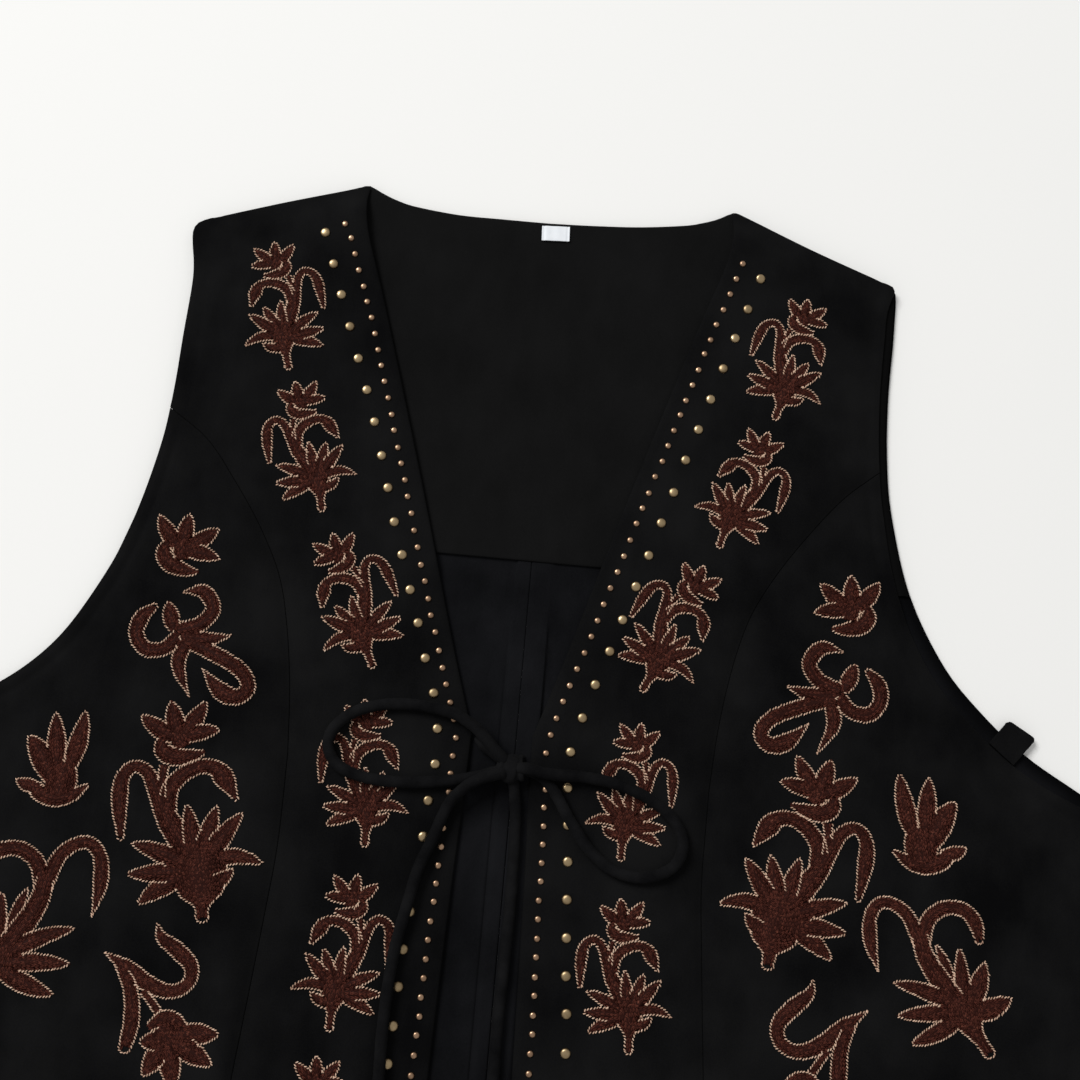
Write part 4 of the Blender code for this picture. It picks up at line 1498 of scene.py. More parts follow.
def bud() -> list[Blade]:
    """A bud with upright lobes on a boat-shaped base.

    Returns:
        The blades.
    """
    rows = (
        (((2.0, -17.0), (3.0, -9.0), (3.5, -2.0)), (6.4, 6.8, 5.0), 1.0, None),
        (((14.8, -12.0), (8.0, -16.4), (1.0, -17.8), (-6.0, -15.6), (-10.5, -12.4)),
         (0.5, 2.9, 3.7, 3.4, 1.2), 1.0, None),
    )
    return (
        bands(rows)
        + petals((4.5, -8.0), [((11.3, 20.0), 4.0, -0.04)])
        + petals((1.0, -8.0), [((-1.3, 18.8), 4.0, 0.0)])
        + petals((-1.0, -11.0), [((-12.5, 8.8), 5.0, -0.05)])
        + petals((-5.0, -13.0), [((-16.0, -9.8), 2.8, 0.1)])
    )


def arching_fan() -> list[Blade]:
    """A leaning fan of leaves whose stem ends in two broad arches, without a flower.

    Returns:
        The blades.
    """
    rows = (
        (((-20.5, -31.8), (-17.4, -27.0), (-14.4, -22.4), (-11.3, -15.5), (-8.0, -8.0)),
         (2.5, 2.6, 4.2, 8.2, 5.6), 1.0, 0),
        (((-9.0, -13.0), (-1.0, -3.0), (6.0, 8.0), (8.5, 18.0)), (4.6, 4.6, 4.0, 3.4), 0.1, None),
        (((8.0, 14.0), (14.0, 27.0), (23.4, 31.6), (29.4, 26.3), (30.2, 15.0), (27.3, 2.0)),
         (3.2, 2.8, 2.5, 2.7, 2.9, 0.0), 1.0, None),
        (((7.5, 13.0), (4.6, 23.8), (-2.5, 29.3), (-11.3, 28.6), (-16.6, 22.5), (-18.2, 15.5)),
         (3.2, 3.1, 3.0, 3.0, 3.2, 1.8), 0.1, -1),
    )
    leaves = (
        ((20.8, -2.5), 3.5, 0.06), ((20.0, -16.3), 3.5, 0.02), ((13.8, -28.0), 3.8, -0.04),
        ((-8.8, 12.5), 3.5, 0.0), ((-20.5, 6.3), 4.4, 0.04), ((-31.5, -9.0), 4.4, 0.06),
    )
    slim = petals((-5.0, -7.0), [((1.6, 13.8), 2.5, 0.05)])
    return bands(rows) + petals((-11.0, -15.5), leaves) + slim


def starflower() -> list[Blade]:
    """A scroll that ends in a comma and a spur, with a star-shaped flower hanging from it.

    Returns:
        The blades.
    """
    rows = (
        (((-23.7, 22.1), (-14.5, 15.8), (-5.3, 8.6), (4.0, 5.2), (11.2, 8.2), (12.3, 15.1), (6.6, 21.7),
          (0.2, 27.2), (-1.7, 33.2)), (0.0, 2.9, 3.3, 2.7, 2.6, 2.9, 3.2, 2.3, 0.0), 1.0, None),
        (((-17.4, 17.4), (-12.8, 7.0), (-12.0, -4.0), (-13.4, -11.6), (-14.8, -16.4)),
         (2.0, 2.9, 3.2, 3.0, 2.4), 0.12, -1),
        (((-7.5, 6.0), (-4.0, 1.4), (-0.7, -3.6)), (1.5, 1.5, 1.8), 0.1, None),
        (((-1.5, -8.6), (2.6, -13.0), (5.0, -17.6)), (4.6, 6.8, 5.0), 1.0, None),
        (((-5.0, -8.6), (0.8, -5.6), (6.0, -6.4), (11.4, -9.8)), (1.6, 3.2, 2.9, 0.4), 1.0, None),
    )
    tips = (
        ((24.3, -12.4), 4.5, 0.03), ((21.5, -24.3), 4.4, 0.0), ((5.3, -33.0), 4.5, 0.0),
        ((-7.2, -27.6), 4.2, 0.0), ((-8.6, -14.0), 3.8, 0.04),
    )
    return bands(rows) + petals((2.6, -13.2), tips)


def depth_inside(polygon: np.ndarray, points: np.ndarray) -> np.ndarray:
    """How far inside a closed outline each point lies, and 0 outside it.

    Args:
        polygon: The outline's corners.
        points: The points.

    Returns:
        The depths.
    """
    x, y = points[:, 0], points[:, 1]
    inside = np.zeros(len(points), dtype=bool)
    closed = np.vstack([polygon, polygon[:1]])
    for (x0, y0), (x1, y1) in zip(closed, closed[1:]):
        crosses = (y0 > y) != (y1 > y)
        if crosses.any():
            reach = x0 + (y - y0) * (x1 - x0) / (y1 - y0 if y1 != y0 else 1e-9)
            inside ^= crosses & (x < reach)
    depth = np.zeros(len(points))
    if inside.any():
        depth[inside] = distance_to(closed, points[inside])
    return depth


@dataclass
class Stitches:
    """Where one motif's stitches lie, and which way each points, in the motif's own plane."""

    places: list[np.ndarray] = field(default_factory=list)
    directions: list[np.ndarray] = field(default_factory=list)

    def add_run(self, line: np.ndarray, pitch: float, offset: float = 0.5) -> None:
        """Adds stitches at an even pitch along a line.

        Args:
            line: The line's points.
            pitch: The distance between stitches.
            offset: Where the first lies, as a share of the pitch.
        """
        total = run_of(line)[-1]
        goals = np.arange(offset * pitch, total, pitch)
        if len(goals) == 0 or len(line) < 2:
            return
        reach = 0.2 * pitch
        self.places.append(along(line, goals))
        self.directions.append(along(line, goals + reach) - along(line, np.maximum(goals - reach, 0.0)))


@dataclass
class Motif:
    """A motif of overlapping blades, worked out as rows of chain stitch and a corded outline."""

    blades: list[Blade]
    row_pitch: float = 1.2
    link_pitch: float = 1.75
    margin: float = 0.95
    cord_pitch: float = 1.26
    tuck: float = 0.8
    overlap: float = 0.35
    beds: list[tuple[np.ndarray, np.ndarray]] = field(default_factory=list)
    fill: Stitches = field(default_factory=Stitches)
    outline: Stitches = field(default_factory=Stitches)

    def __post_init__(self) -> None:
        """Works out the motif's stitches."""
        lines = [blade.outline() for blade in self.blades]
        polygons = [
            np.vstack([centre + normal * half[:, None], (centre - normal * half[:, None])[::-1]])
            for centre, half, normal, _ in lines
        ]
        for index, (blade, line) in enumerate(zip(self.blades, lines)):
            self.stitch_outline(blade, line, polygons[:index] + polygons[index + 1:])
            self.stitch_fill(line, polygons[:index])
            self.beds.append((line[0][::2], line[2][::2] * np.maximum(line[1][::2, None] - 0.1, 0.12)))

    def stitch_outline(self, blade: Blade, line: Outline, others: list[np.ndarray]) -> None:
        """Lays the corded outline along a blade's sides wherever no other blade covers it.

        Args:
            blade: The blade.
            line: Its outline.
            others: The other blades' closed outlines.
        """
        centre, half, normal, share = line
        for hand in (1.0, -1.0):
            edge = centre + hand * normal * half[:, None]
            buried = np.zeros(len(edge))
            for other in others:
                buried = np.maximum(buried, depth_inside(other, edge))
            kept = buried < self.tuck
            if hand > 0:
                kept |= share > blade.crease
            self.keep_runs(edge, kept)
        if blade.cap is not None:
            out = centre[blade.cap] - centre[3 if blade.cap == 0 else -4]
            out = out / np.linalg.norm(out)
            turns = np.linspace(0.0, math.pi, 9)[:, None]
            arc = np.cos(turns) * normal[blade.cap] + 0.8 * np.sin(turns) * out
            self.outline.add_run(centre[blade.cap] + half[blade.cap] * arc, self.cord_pitch, 0.3)

    def keep_runs(self, edge: np.ndarray, kept: np.ndarray) -> None:
        """Stitches each unbroken stretch of an edge that is kept.

        Args:
            edge: The edge's points.
            kept: Which of them are kept.
        """
        start = None
        for index, flag in enumerate([*kept, False]):
            if flag and start is None:
                start = index
            elif not flag and start is not None:
                if index - start > 2:
                    self.outline.add_run(edge[start:index], self.cord_pitch)
                start = None

    def stitch_fill(self, line: Outline, earlier: list[np.ndarray]) -> None:
        """Fills a blade with rows of chain stitch that follow its sides, clear of the earlier blades.

        Args:
            line: The blade's outline.
            earlier: The earlier blades' outlines.
        """
        centre, half, normal, _ = line
        rows = int(max(half) / self.row_pitch) + 1
        for row in range(rows):
            reach = half - self.margin - row * self.row_pitch
            for hand in (1.0, -1.0):
                near_middle = reach < 0.35 * self.row_pitch
                kept = reach > -0.15 * self.row_pitch
                if hand < 0:
                    kept &= ~near_middle
                offset = np.where(near_middle, 0.0, reach)
                places = centre + hand * normal * offset[:, None]
                self.keep_rows(places, kept, earlier, 0.5 * (row % 2) + 0.25)

    def keep_rows(
        self, row: np.ndarray, kept: np.ndarray, earlier: list[np.ndarray], offset: float
    ) -> None:
        """Lays links along the kept stretches of one row, leaving out those over earlier blades.

        Args:
            row: The row's points.
            kept: Which of them are kept.
            earlier: The earlier blades' outlines.
            offset: Where the first link lies, as a share of the pitch.
        """
        edges = np.flatnonzero(np.diff(np.concatenate([[0], kept.astype(int), [0]])))
        for start, end in zip(edges[::2], edges[1::2]):
            if end - start < 3:
                continue
            run = Stitches()
            run.add_run(row[start:end], self.link_pitch, offset)
            for places, directions in zip(run.places, run.directions):
                clear = np.ones(len(places), dtype=bool)
                for polygon in earlier:
                    clear &= depth_inside(polygon, places) < self.overlap
                self.fill.places.append(places[clear])
                self.fill.directions.append(directions[clear])


@dataclass(frozen=True)
class Placing:
    """Where a motif lies on a front: its foot, how it leans to the right, and its size."""

    kind: str
    foot: tuple[float, float]
    lean: float
    scale: float
    turn: Turn

    def turned(self, directions: np.ndarray) -> np.ndarray:
        """Directions in the motif's own plane as directions on the front, in plan.

        Args:
            directions: The directions.

        Returns:
            The turned directions.
        """
        lean = math.radians(self.lean)
        up = np.array([math.sin(lean), -math.cos(lean)])
        right = np.array([-up[1], up[0]]) * self.turn.value
        return directions @ np.stack([right, up])

    def laid(self, places: np.ndarray) -> np.ndarray:
        """Places in the motif's own plane as places on the front, in plan."""
        return np.array(self.foot) + self.scale * self.turned(places)


PLAIN, MIRRORED = Turn.PLAIN, Turn.MIRRORED
PLACINGS = {
    Side.LEFT: (
        Placing("spray", (-105.6, 87.4), -13.1, 0.995, MIRRORED),
        Placing("spray", (-84.3, 147.5), -18.3, 0.987, PLAIN),
        Placing("spray", (-56.1, 210.7), -22.7, 1.003, MIRRORED),
        Placing("spray", (-51.0, 282.5), -6.4, 1.008, PLAIN),
        Placing("spray", (-57.0, 354.1), 4.8, 1.037, MIRRORED),
        Placing("spray", (-56.6, 423.4), -4.0, 1.02, PLAIN),
        Placing("spray", (-57.0, 492.5), 3.0, 1.0, MIRRORED),
        Placing("sprig", (-141.3, 170.4), 10.0, 1.0, PLAIN),
        Placing("scroll", (-128.8, 207.7), 4.1, 1.0, PLAIN),
        Placing("great_spray", (-111.7, 318.3), -15.8, 1.01, PLAIN),
        Placing("bud", (-179.2, 259.0), -4.4, 0.93, PLAIN),
        Placing("arching_fan", (-182.1, 324.8), -5.7, 0.98, PLAIN),
        Placing("starflower", (-123.8, 351.2), -7.2, 0.95, PLAIN),
    ),
    Side.RIGHT: (
        Placing("spray", (104.1, 89.7), 11.7, 0.97, PLAIN),
        Placing("spray", (83.9, 147.4), 19.5, 0.937, MIRRORED),
        Placing("spray", (56.4, 210.4), 21.9, 1.005, PLAIN),
        Placing("spray", (52.5, 279.0), 4.8, 0.951, MIRRORED),
        Placing("spray", (61.3, 352.7), -7.6, 1.016, PLAIN),
        Placing("spray", (58.0, 423.5), 5.0, 1.0, MIRRORED),
        Placing("spray", (60.0, 493.0), -4.0, 1.0, PLAIN),
        Placing("sprig", (142.1, 170.4), -7.9, 0.98, MIRRORED),
        Placing("scroll", (129.3, 207.7), -3.6, 1.0, MIRRORED),
        Placing("great_spray", (114.0, 316.9), 14.4, 0.99, MIRRORED),
        Placing("bud", (176.3, 254.0), -3.3, 0.966, MIRRORED),
        Placing("arching_fan", (183.4, 314.0), -4.4, 0.91, MIRRORED),
        Placing("starflower", (132.8, 352.3), -2.6, 0.99, MIRRORED),
    ),
}


def swung(points: np.ndarray, degrees: float) -> np.ndarray:
    """A small shape's places across and along, turned in their own plane."""
    turn = math.radians(degrees)
    return points[:, :2] @ np.array([[math.cos(turn), math.sin(turn)], [-math.sin(turn), math.cos(turn)]])


def splayed_link(splay: float = 13.0, offset: float = 0.24, lift: float = 0.20) -> Model:
    """One link of chain stitch: two strands that open from a point.

    Args:
        splay: How far each strand turns outwards, in degrees.
        offset: How far each strand lies from the link's middle.
        lift: How high the strands lie.

    Returns:
        The link's points and faces.
    """
    strand, faces = spindle(2.1, 0.52, 0.56, 4)
    halves = []
    for hand in (1.0, -1.0):
        turned = swung(strand, splay * hand)
        halves.append(np.column_stack([turned[:, 0], turned[:, 1] - offset * hand, strand[:, 2] + lift]))
    return np.vstack(halves), faces + [tuple(corner + len(strand) for corner in face) for face in faces]


def slanted_stitch(slant: float = 38.0, lift: float = 0.32) -> Model:
    """One slanted stitch of the corded outline."""
    stitch, faces = spindle(1.42, 0.62, 0.66, 5)
    return np.column_stack([swung(stitch, slant), stitch[:, 2] + lift]), faces


@dataclass
class Embroidery:
    """One side's embroidery: a column of sprays beside the front edge and larger motifs on the side."""

    side: Side
    surface: FrontSurface
    thread: bpy.types.Material
    cord: bpy.types.Material
    motifs: dict[str, Motif]
    link_sway: float = 7.0
    cord_sway: float = 8.0
    jitter: float = 0.09

    def bed(self, pile: Pile, placing: Placing) -> None:
        """Lays a thin padding beneath one motif's stitches, in a dark tone that paints the shade between
        the rows.

        Args:
            pile: What the padding is added to.
            placing: Where the motif lies.
        """
        for centre, reach in self.motifs[placing.kind].beds:
            rows = [placing.laid(line) for line in (centre - reach, centre, centre + reach, centre)]
            if placing.turn is Turn.MIRRORED:
                rows = rows[::-1]
            flat = np.stack(rows, axis=1).reshape(-1, 2)
            lifts = np.tile((0.03, 0.24, 0.03, -0.3), len(centre))
            if placing.turn is Turn.MIRRORED:
                lifts = np.tile((-0.3, 0.03, 0.24, 0.03), len(centre))
            z = self.surface.outer(flat) + lifts
            quads = [
                (4 * row + step, 4 * row + (step + 1) % 4, 4 * row + 4 + (step + 1) % 4, 4 * row + 4 + step)
                for row in range(len(centre) - 1)
                for step in range(4)
            ]
            last = 4 * (len(centre) - 1)
            quads += [(3, 2, 1, 0), (last, last + 1, last + 2, last + 3)]
            # The tone of -0.5 makes the padding darker than any stitch: painted shade between the rows.
            pile.add(np.column_stack([flat, z]), np.array(quads).ravel(), np.full(len(quads), 4), -0.5)

    def lay(self, pile: Pile, placing: Placing, stitches: Stitches, model: Model, sway: float) -> None:
        """Lays one motif's links or outline stitches on the front.

        Args:
            pile: What the stitches are added to.
            placing: Where the motif lies.
            stitches: The stitches in the motif's own plane.
            model: The link or stitch that is copied.
            sway: How far each copy turns at random, in degrees.
        """
        places = placing.laid(np.vstack(stitches.places))
        directions = placing.turned(np.vstack(stitches.directions))
        pile.scatter(model, places, directions, self.surface, sway, jitter=self.jitter)

    def build(self) -> list[bpy.types.Object]:
        """Lays every motif's stitches and joins them: the column and the side, fill and outline.

        Returns:
            The four pieces.
        """
        link, stitch = splayed_link(), slanted_stitch()
        pieces = []
        for group in ("column", "side"):
            fill, outline = Pile(), Pile()
            for placing in PLACINGS[self.side]:
                if (placing.kind == "spray") != (group == "column"):
                    continue
                motif = self.motifs[placing.kind]
                self.bed(fill, placing)
                self.lay(fill, placing, motif.fill, link, self.link_sway)
                self.lay(outline, placing, motif.outline, stitch, self.cord_sway)
            for pile, part, material in ((fill, "fill", self.thread), (outline, "outline", self.cord)):
                slot = "embroidery_thread" if part == "fill" else "outline_thread"
                piece = pile.piece(f"{group}_{part}_{self.side.word}")
                pieces.append(dress(piece, material))
        return pieces


LARGE_STUDS = {
    Side.LEFT: (
        (97.1, 25.1), (81.8, 66.8), (66.2, 108.7), (53.7, 149.3), (39.5, 191.3), (26.6, 233.5),
        (27.4, 263.0), (31.3, 321.7), (32.4, 351.4), (35.5, 430.0), (38.5, 524.0),
    ),
    Side.RIGHT: (
        (93.9, 28.0), (80.3, 70.0), (67.2, 111.8), (54.8, 152.9), (41.7, 194.7), (29.0, 236.6),
        (30.0, 267.5), (33.0, 311.9), (36.4, 356.8), (38.5, 430.0), (41.0, 524.0),
    ),
}
SMALL_STUDS = {
    Side.LEFT: (
        (89.3, 20.6), (85.6, 27.6), (77.4, 50.0), (65.0, 87.0), (48.6, 140.0), (31.2, 197.0), (19.2, 234.5),
        (19.4, 250.0), (21.2, 300.0), (23.0, 368.0), (24.6, 450.0), (26.4, 525.0),
    ),
    Side.RIGHT: (
        (85.4, 22.2), (83.4, 29.0), (75.6, 52.0), (65.0, 87.0), (48.6, 140.0), (31.2, 197.0), (19.2, 234.5),
        (19.4, 250.0), (21.2, 300.0), (23.0, 368.0), (24.6, 450.0), (26.4, 525.0),
    ),
}


@dataclass
class StudRows:
    """One side's two rows of brass studs beside the front edge.

    Large and small each give the pitch along the row and the stud's radius and height.
    """

    side: Side
    surface: FrontSurface
    brass: bpy.types.Material
    copper: bpy.types.Material
    large: tuple[float, float, float] = (14.7, 2.15, 0.9)
    small: tuple[float, float, float] = (7.35, 1.4, 0.8)
    jitter: float = 0.16

    def stud(self, radius: float, height: float) -> tuple[Model, np.ndarray]:
        """Models one stud: a domed cap over a rim that turns in to the cloth.

        Args:
            radius: Its radius in millimetres.
            height: Its height.

        Returns:
            Its points and faces, and how near the rim each point is.
        """
        deselect()
        bpy.ops.mesh.primitive_cylinder_add(vertices=14, radius=radius, depth=0.3, end_fill_type="NGON")
        cap = bpy.context.object
        bpy.ops.object.mode_set(mode="EDIT")
        bpy.ops.mesh.select_all(action="DESELECT")
        bpy.ops.object.mode_set(mode="OBJECT")
        for polygon in cap.data.polygons:
            polygon.select = polygon.normal.z > 0.5
        bpy.ops.object.mode_set(mode="EDIT")
        for share, rise in ((0.09, 0.50), (0.16, 0.28), (0.25, 0.16), (0.25, 0.06)):
            bpy.ops.mesh.inset(thickness=radius * share)
            bpy.ops.transform.translate(value=(0.0, 0.0, rise * height))
        bpy.ops.mesh.poke()
        bpy.ops.object.mode_set(mode="OBJECT")
        points = np.array([vertex.co for vertex in cap.data.vertices])
        points[:, 2] -= 0.05
        faces = [tuple(polygon.vertices) for polygon in cap.data.polygons]
        # The rim share darkens the brass: partly patina, partly painted contact shade.
        rim = ease((np.hypot(points[:, 0], points[:, 1]) / radius - 0.62) / 0.38)
        bpy.data.objects.remove(cap, do_unlink=True)
        return (points, faces), rim

    def build(self) -> list[bpy.types.Object]:
        """Lays both rows along their lines.

        Returns:
            The row of large studs and the row of small ones.
        """
        pieces = []
        rows = (
            ("large", LARGE_STUDS, self.large, self.brass),
            ("small", SMALL_STUDS, self.small, self.copper),
        )
        for word, tables, (pitch, radius, height), metal in rows:
            line = smooth_line(plan(self.side, tables[self.side]))
            places = along(line, np.arange(0.0, run_of(line)[-1], pitch))
            random = np.random.default_rng(SEED + len(places))
            places += random.normal(0.0, self.jitter, places.shape)
            angles = random.uniform(0.0, 2.0 * math.pi, len(places))
            model, rim = self.stud(radius, height)
            directions = np.stack([np.cos(angles), np.sin(angles)], axis=1)
            pile = Pile()
            pile.scatter(model, places, directions, self.surface, rim=rim)
            pieces.append(dress(pile.piece(f"{word}_studs_{self.side.word}"), metal))
        return pieces


@dataclass
class SizeLabel:
    """The small bare label at the back neck."""

    tape: bpy.types.Material
    width: float = 12.2
    height: float = 6.8
    x: float = 3.0
    down: float = 14.4
    turn: float = 3.0

    def build(self) -> bpy.types.Object:
        """Builds the tape with turned-under ends.

        Returns:
            The new piece.
        """
        deselect()
        bpy.ops.mesh.primitive_grid_add(x_subdivisions=36, y_subdivisions=14, size=1.0)
        piece = bpy.context.object
        piece.name = piece.data.name = "size_label_tape"
        turn = math.radians(self.turn)
        floor = CLOTH + FACING_CLOTH + 2 * SEAM_GAP
        for vertex in piece.data.vertices:
            u, v = vertex.co.x * self.width, vertex.co.y * self.height
            dip = 0.24 * math.exp(-(((abs(u) - self.width / 2 + 0.9) / 0.5) ** 2))
            rise = 0.42 - dip + 0.05 * math.sin(1.3 * u)
            x = self.x + u * math.cos(turn) - v * math.sin(turn)
            y = LENGTH / 2 - self.down + u * math.sin(turn) + v * math.cos(turn)
            vertex.co = (x * MM, y * MM, (floor + rise + 0.25) * MM)
        apply_modifier(piece, "SOLIDIFY", thickness=0.00045, offset=-1.0)
        apply_modifier(piece, "BEVEL", width=0.00012, segments=2, limit_method="ANGLE")
        smooth_shade(piece, 45.0)
        return dress(piece, self.tape, ["size_label"])


@dataclass
class HangerLoop:
    """The narrow strap folded in two that stands out at the right armhole."""

    cloth: bpy.types.Material
    half: float = 209.6
    width: float = 13.0
    inner: float = 6.8
    outer: float = 7.2
    slant: float = 0.155
    corner: float = 1.6
    strip: float = 0.5
    ply: float = 0.7
    slit: float = 0.3

    def build(self) -> bpy.types.Object:
        """Bends a fine strip round into the fold and gives it its thickness.

        Returns:
            The new piece.
        """
        edge = back_armhole(Side.RIGHT)
        index = int(np.argmax((edge[:, 1] > PRINCESS_TOP) & (edge[:, 0] > self.half)))
        travel = edge[index + 1] - edge[index - 1]
        turn = math.atan2(travel[0], travel[1])
        bend = (self.slit + self.ply) / 2
        count = round((self.inner + self.outer - bend) / self.strip)
        run = [(-self.inner + step * self.strip, 0.0) for step in range(count)]
        arc = [
            (self.outer - bend - self.ply / 2 + bend * math.sin(angle), bend - bend * math.cos(angle))
            for angle in np.linspace(0.0, math.pi, 11)
        ]
        middle = [*run, *arc, *((u, 2 * bend) for u, _ in reversed(run))]
        deselect()
        bpy.ops.mesh.primitive_grid_add(x_subdivisions=len(middle) - 1, y_subdivisions=18, size=2.0)
        piece = bpy.context.object
        piece.name = piece.data.name = "hanger_loop_strap"
        base = CLOTH + SEAM_GAP + self.ply / 2
        for vertex in piece.data.vertices:
            number = round((vertex.co.x + 1.0) / 2.0 * (len(middle) - 1))
            u, up = middle[number]
            aside = vertex.co.y * self.width / 2
            up += 0.06 * math.sin(aside * 0.9 + u)
            share = (u + self.inner) / (self.inner + self.outer)
            past = max(0.0, abs(aside) - self.width / 2 + self.corner)
            drop = self.corner - math.sqrt(self.corner**2 - past**2)
            u += share * aside * self.slant - drop * share**3
            x = edge[index][0] + u * math.cos(turn) + aside * math.sin(turn)
            down = edge[index][1] - u * math.sin(turn) + aside * math.cos(turn)
            vertex.co = (x * MM, (LENGTH / 2 - down) * MM, (base + up) * MM)
        apply_modifier(piece, "SOLIDIFY", thickness=self.ply * MM, offset=0.0)
        apply_modifier(piece, "BEVEL", width=0.0003, segments=2, limit_method="ANGLE")
        smooth_shade(piece, 50.0)
        return dress(piece, self.cloth, ["hanger_loop"])


@dataclass
class TieBow:
    """The narrow sewn tie: two loops, two tails, two sewn-in ends and the knot.

    The lump gives the knot's half sizes, and each wrap its place across the knot, its radius, the
    strand's radius, how much broader it lies, and its lean in radians.
    """

    cloth: bpy.types.Material
    diameter: float = 4.5
    sides: int = 20
    ring_pitch: float = 1.1
    unevenness: float = 0.035
    crimp: float = 0.03
    seam_angle: float = 3.6
    seam_depth: float = 0.10
    knot_centre: tuple[float, float, float] = (4.7, 247.6, 7.7)
    lump: tuple[float, float, float] = (6.1, 5.2, 3.2)
    wraps: tuple[tuple[float, ...], ...] = (
        (0.2, 4.7, 1.35, 2.0, -0.16),
        (-4.1, 3.8, 1.0, 1.2, -0.34),
        (4.2, 3.8, 1.0, 1.2, 0.16),
    )

    def tube(
        self, name: str, route: Sequence[tuple[float, float, float]], open_end: bool, taper: float = 0.0
    ) -> tuple[bpy.types.Object, np.ndarray]:
        """A stretch of the tie as a slightly uneven sewn tube.

        Args:
            name: The piece's name.
            route: The points that it follows.
            open_end: Whether its far end is the tie's own end.
            taper: How far it narrows towards its sewn end, in millimetres.

        Returns:
            The piece, and its middle line in metres.
        """
        line = smooth_line(route)
        total = run_of(line)[-1]
        count = max(6, round(total / self.ring_pitch))
        stations = np.linspace(0.0, total, count + 1)
        rings = along(line, stations)
        centres = to_part(rings[:, 0], rings[:, 1], rings[:, 2]) / MM
        travel = heading(centres)
        across = np.cross(travel, (0.0, 0.0, 1.0))
        across /= np.linalg.norm(across, axis=1)[:, None]
        upward = np.cross(across, travel)
        angles = np.linspace(0.0, 2.0 * math.pi, self.sides, endpoint=False)
        uneven = self.unevenness * np.sin(stations * 0.55 + len(route)) * np.sin(stations * 0.17)
        radius = self.diameter / 2 * (1.0 + uneven)
        crimp = self.crimp * np.sin(stations[:, None] * 2.1 + 2.0 * np.sin(angles)[None] + len(route))
        aside = (angles - self.seam_angle + math.pi) % (2 * math.pi) - math.pi
        seam = self.seam_depth * bell(aside, 0.2)
        reach = radius[:, None] * (1.0 + crimp - seam[None])
        ends = np.minimum(stations, total - stations) / (0.55 if open_end else 0.3)
        close = np.sqrt(np.clip(1.0 - (1.0 - np.clip(ends, 0.0, 1.0)) ** 2, 0.0, 1.0))
        reach *= np.maximum(close, 0.5)[:, None]
        if taper:
            reach *= (0.4 + 0.6 * ease(stations / taper))[:, None]
        shape = (
            centres[:, None]
            + (reach * np.cos(angles) * 1.04)[..., None] * across[:, None]
            + (reach * np.sin(angles) * 0.95)[..., None] * upward[:, None]
        )
        tips = np.stack([centres[0] - 0.2 * travel[0], centres[-1] + 0.2 * travel[-1]])
        points = np.vstack([shape.reshape(-1, 3), tips]) * MM
        faces = []
        for ring in range(count):
            for step in range(self.sides):
                after = (step + 1) % self.sides
                here, there = ring * self.sides, (ring + 1) * self.sides
                faces.append((here + step, here + after, there + after, there + step))
        first, last = len(points) - 2, len(points) - 1
        low = count * self.sides
        faces += [(first, (step + 1) % self.sides, step) for step in range(self.sides)]
        faces += [(last, low + step, low + (step + 1) % self.sides) for step in range(self.sides)]
        mesh = bpy.data.meshes.new(name)
        mesh.from_pydata([tuple(point) for point in points], [], faces)
        piece = bpy.data.objects.new(name, mesh)
        bpy.context.scene.collection.objects.link(piece)
        face_outwards(piece)
        smooth_shade(piece)
        return piece, centres * MM

    def knot(self) -> bpy.types.Object:
        """The knot: a strand wrapped over the lump where the loops cross, melted together softly.

        Returns:
            The new piece.
        """
        centre = Vector(to_part(*(np.array(value) for value in self.knot_centre)))
        deselect()
        bpy.ops.mesh.primitive_uv_sphere_add(segments=32, ring_count=20, radius=1.0, location=centre)
        core = bpy.context.object
        bpy.ops.object.mode_set(mode="EDIT")
        bpy.ops.transform.resize(value=tuple(half * MM for half in self.lump))
        bpy.ops.object.mode_set(mode="OBJECT")
        pieces = [core]
        for offset, major, minor, breadth, lean in self.wraps:
            bpy.ops.mesh.primitive_torus_add(
                major_radius=major * MM, minor_radius=minor * MM, major_segments=36, minor_segments=14,
                location=centre + Vector((offset * MM, 0.0, 0.0)), rotation=(0.0, math.pi / 2, lean),
            )
            bpy.context.object.scale = (0.66, 1.0, breadth)
            pieces.append(bpy.context.object)
        for piece in pieces:
            piece.select_set(True)
        bpy.context.view_layer.objects.active = core
        bpy.ops.object.join()
        bpy.ops.object.transform_apply(location=True, rotation=True, scale=True)
        core.name = core.data.name = "bow_knot_wrap"
        apply_modifier(core, "REMESH", mode="VOXEL", voxel_size=0.00030)
        apply_modifier(core, "SMOOTH", factor=0.5, iterations=4)
        smooth_shade(core)
        return dress(core, self.cloth, ["bow_knot"])

    def build(self) -> list[bpy.types.Object]:
        """Returns:
            The pieces.
        """
        knot = self.knot()
        stubs = {}
        for side, route in ((Side.LEFT, TIE_STUB_LEFT), (Side.RIGHT, TIE_STUB_RIGHT)):
            piece, _ = self.tube(f"tie_stub_{side.word}_cloth", route, False, 4.5)
            stubs[side] = dress(piece, self.cloth, [f"tie_stub_{side.word}"])
        routes = (
            ("bow_loop_left", BOW_LOOP_LEFT, "knot", [knot, stubs[Side.LEFT]]),
            ("bow_loop_right", BOW_LOOP_RIGHT, "knot", [stubs[Side.RIGHT]]),
            ("tie_tail_left", TIE_TAIL_LEFT, "bare", []),
            ("tie_tail_right", TIE_TAIL_RIGHT, "bare", []),
        )
        pieces = [knot, *stubs.values()]
        for node, route, far_end, with_pieces in routes:
            piece, middle = self.tube(f"{node}_cloth", route, far_end == "bare")
            dress(piece, self.cloth, [node])
            self.diameter * MM
            pieces.append(piece)
        return pieces


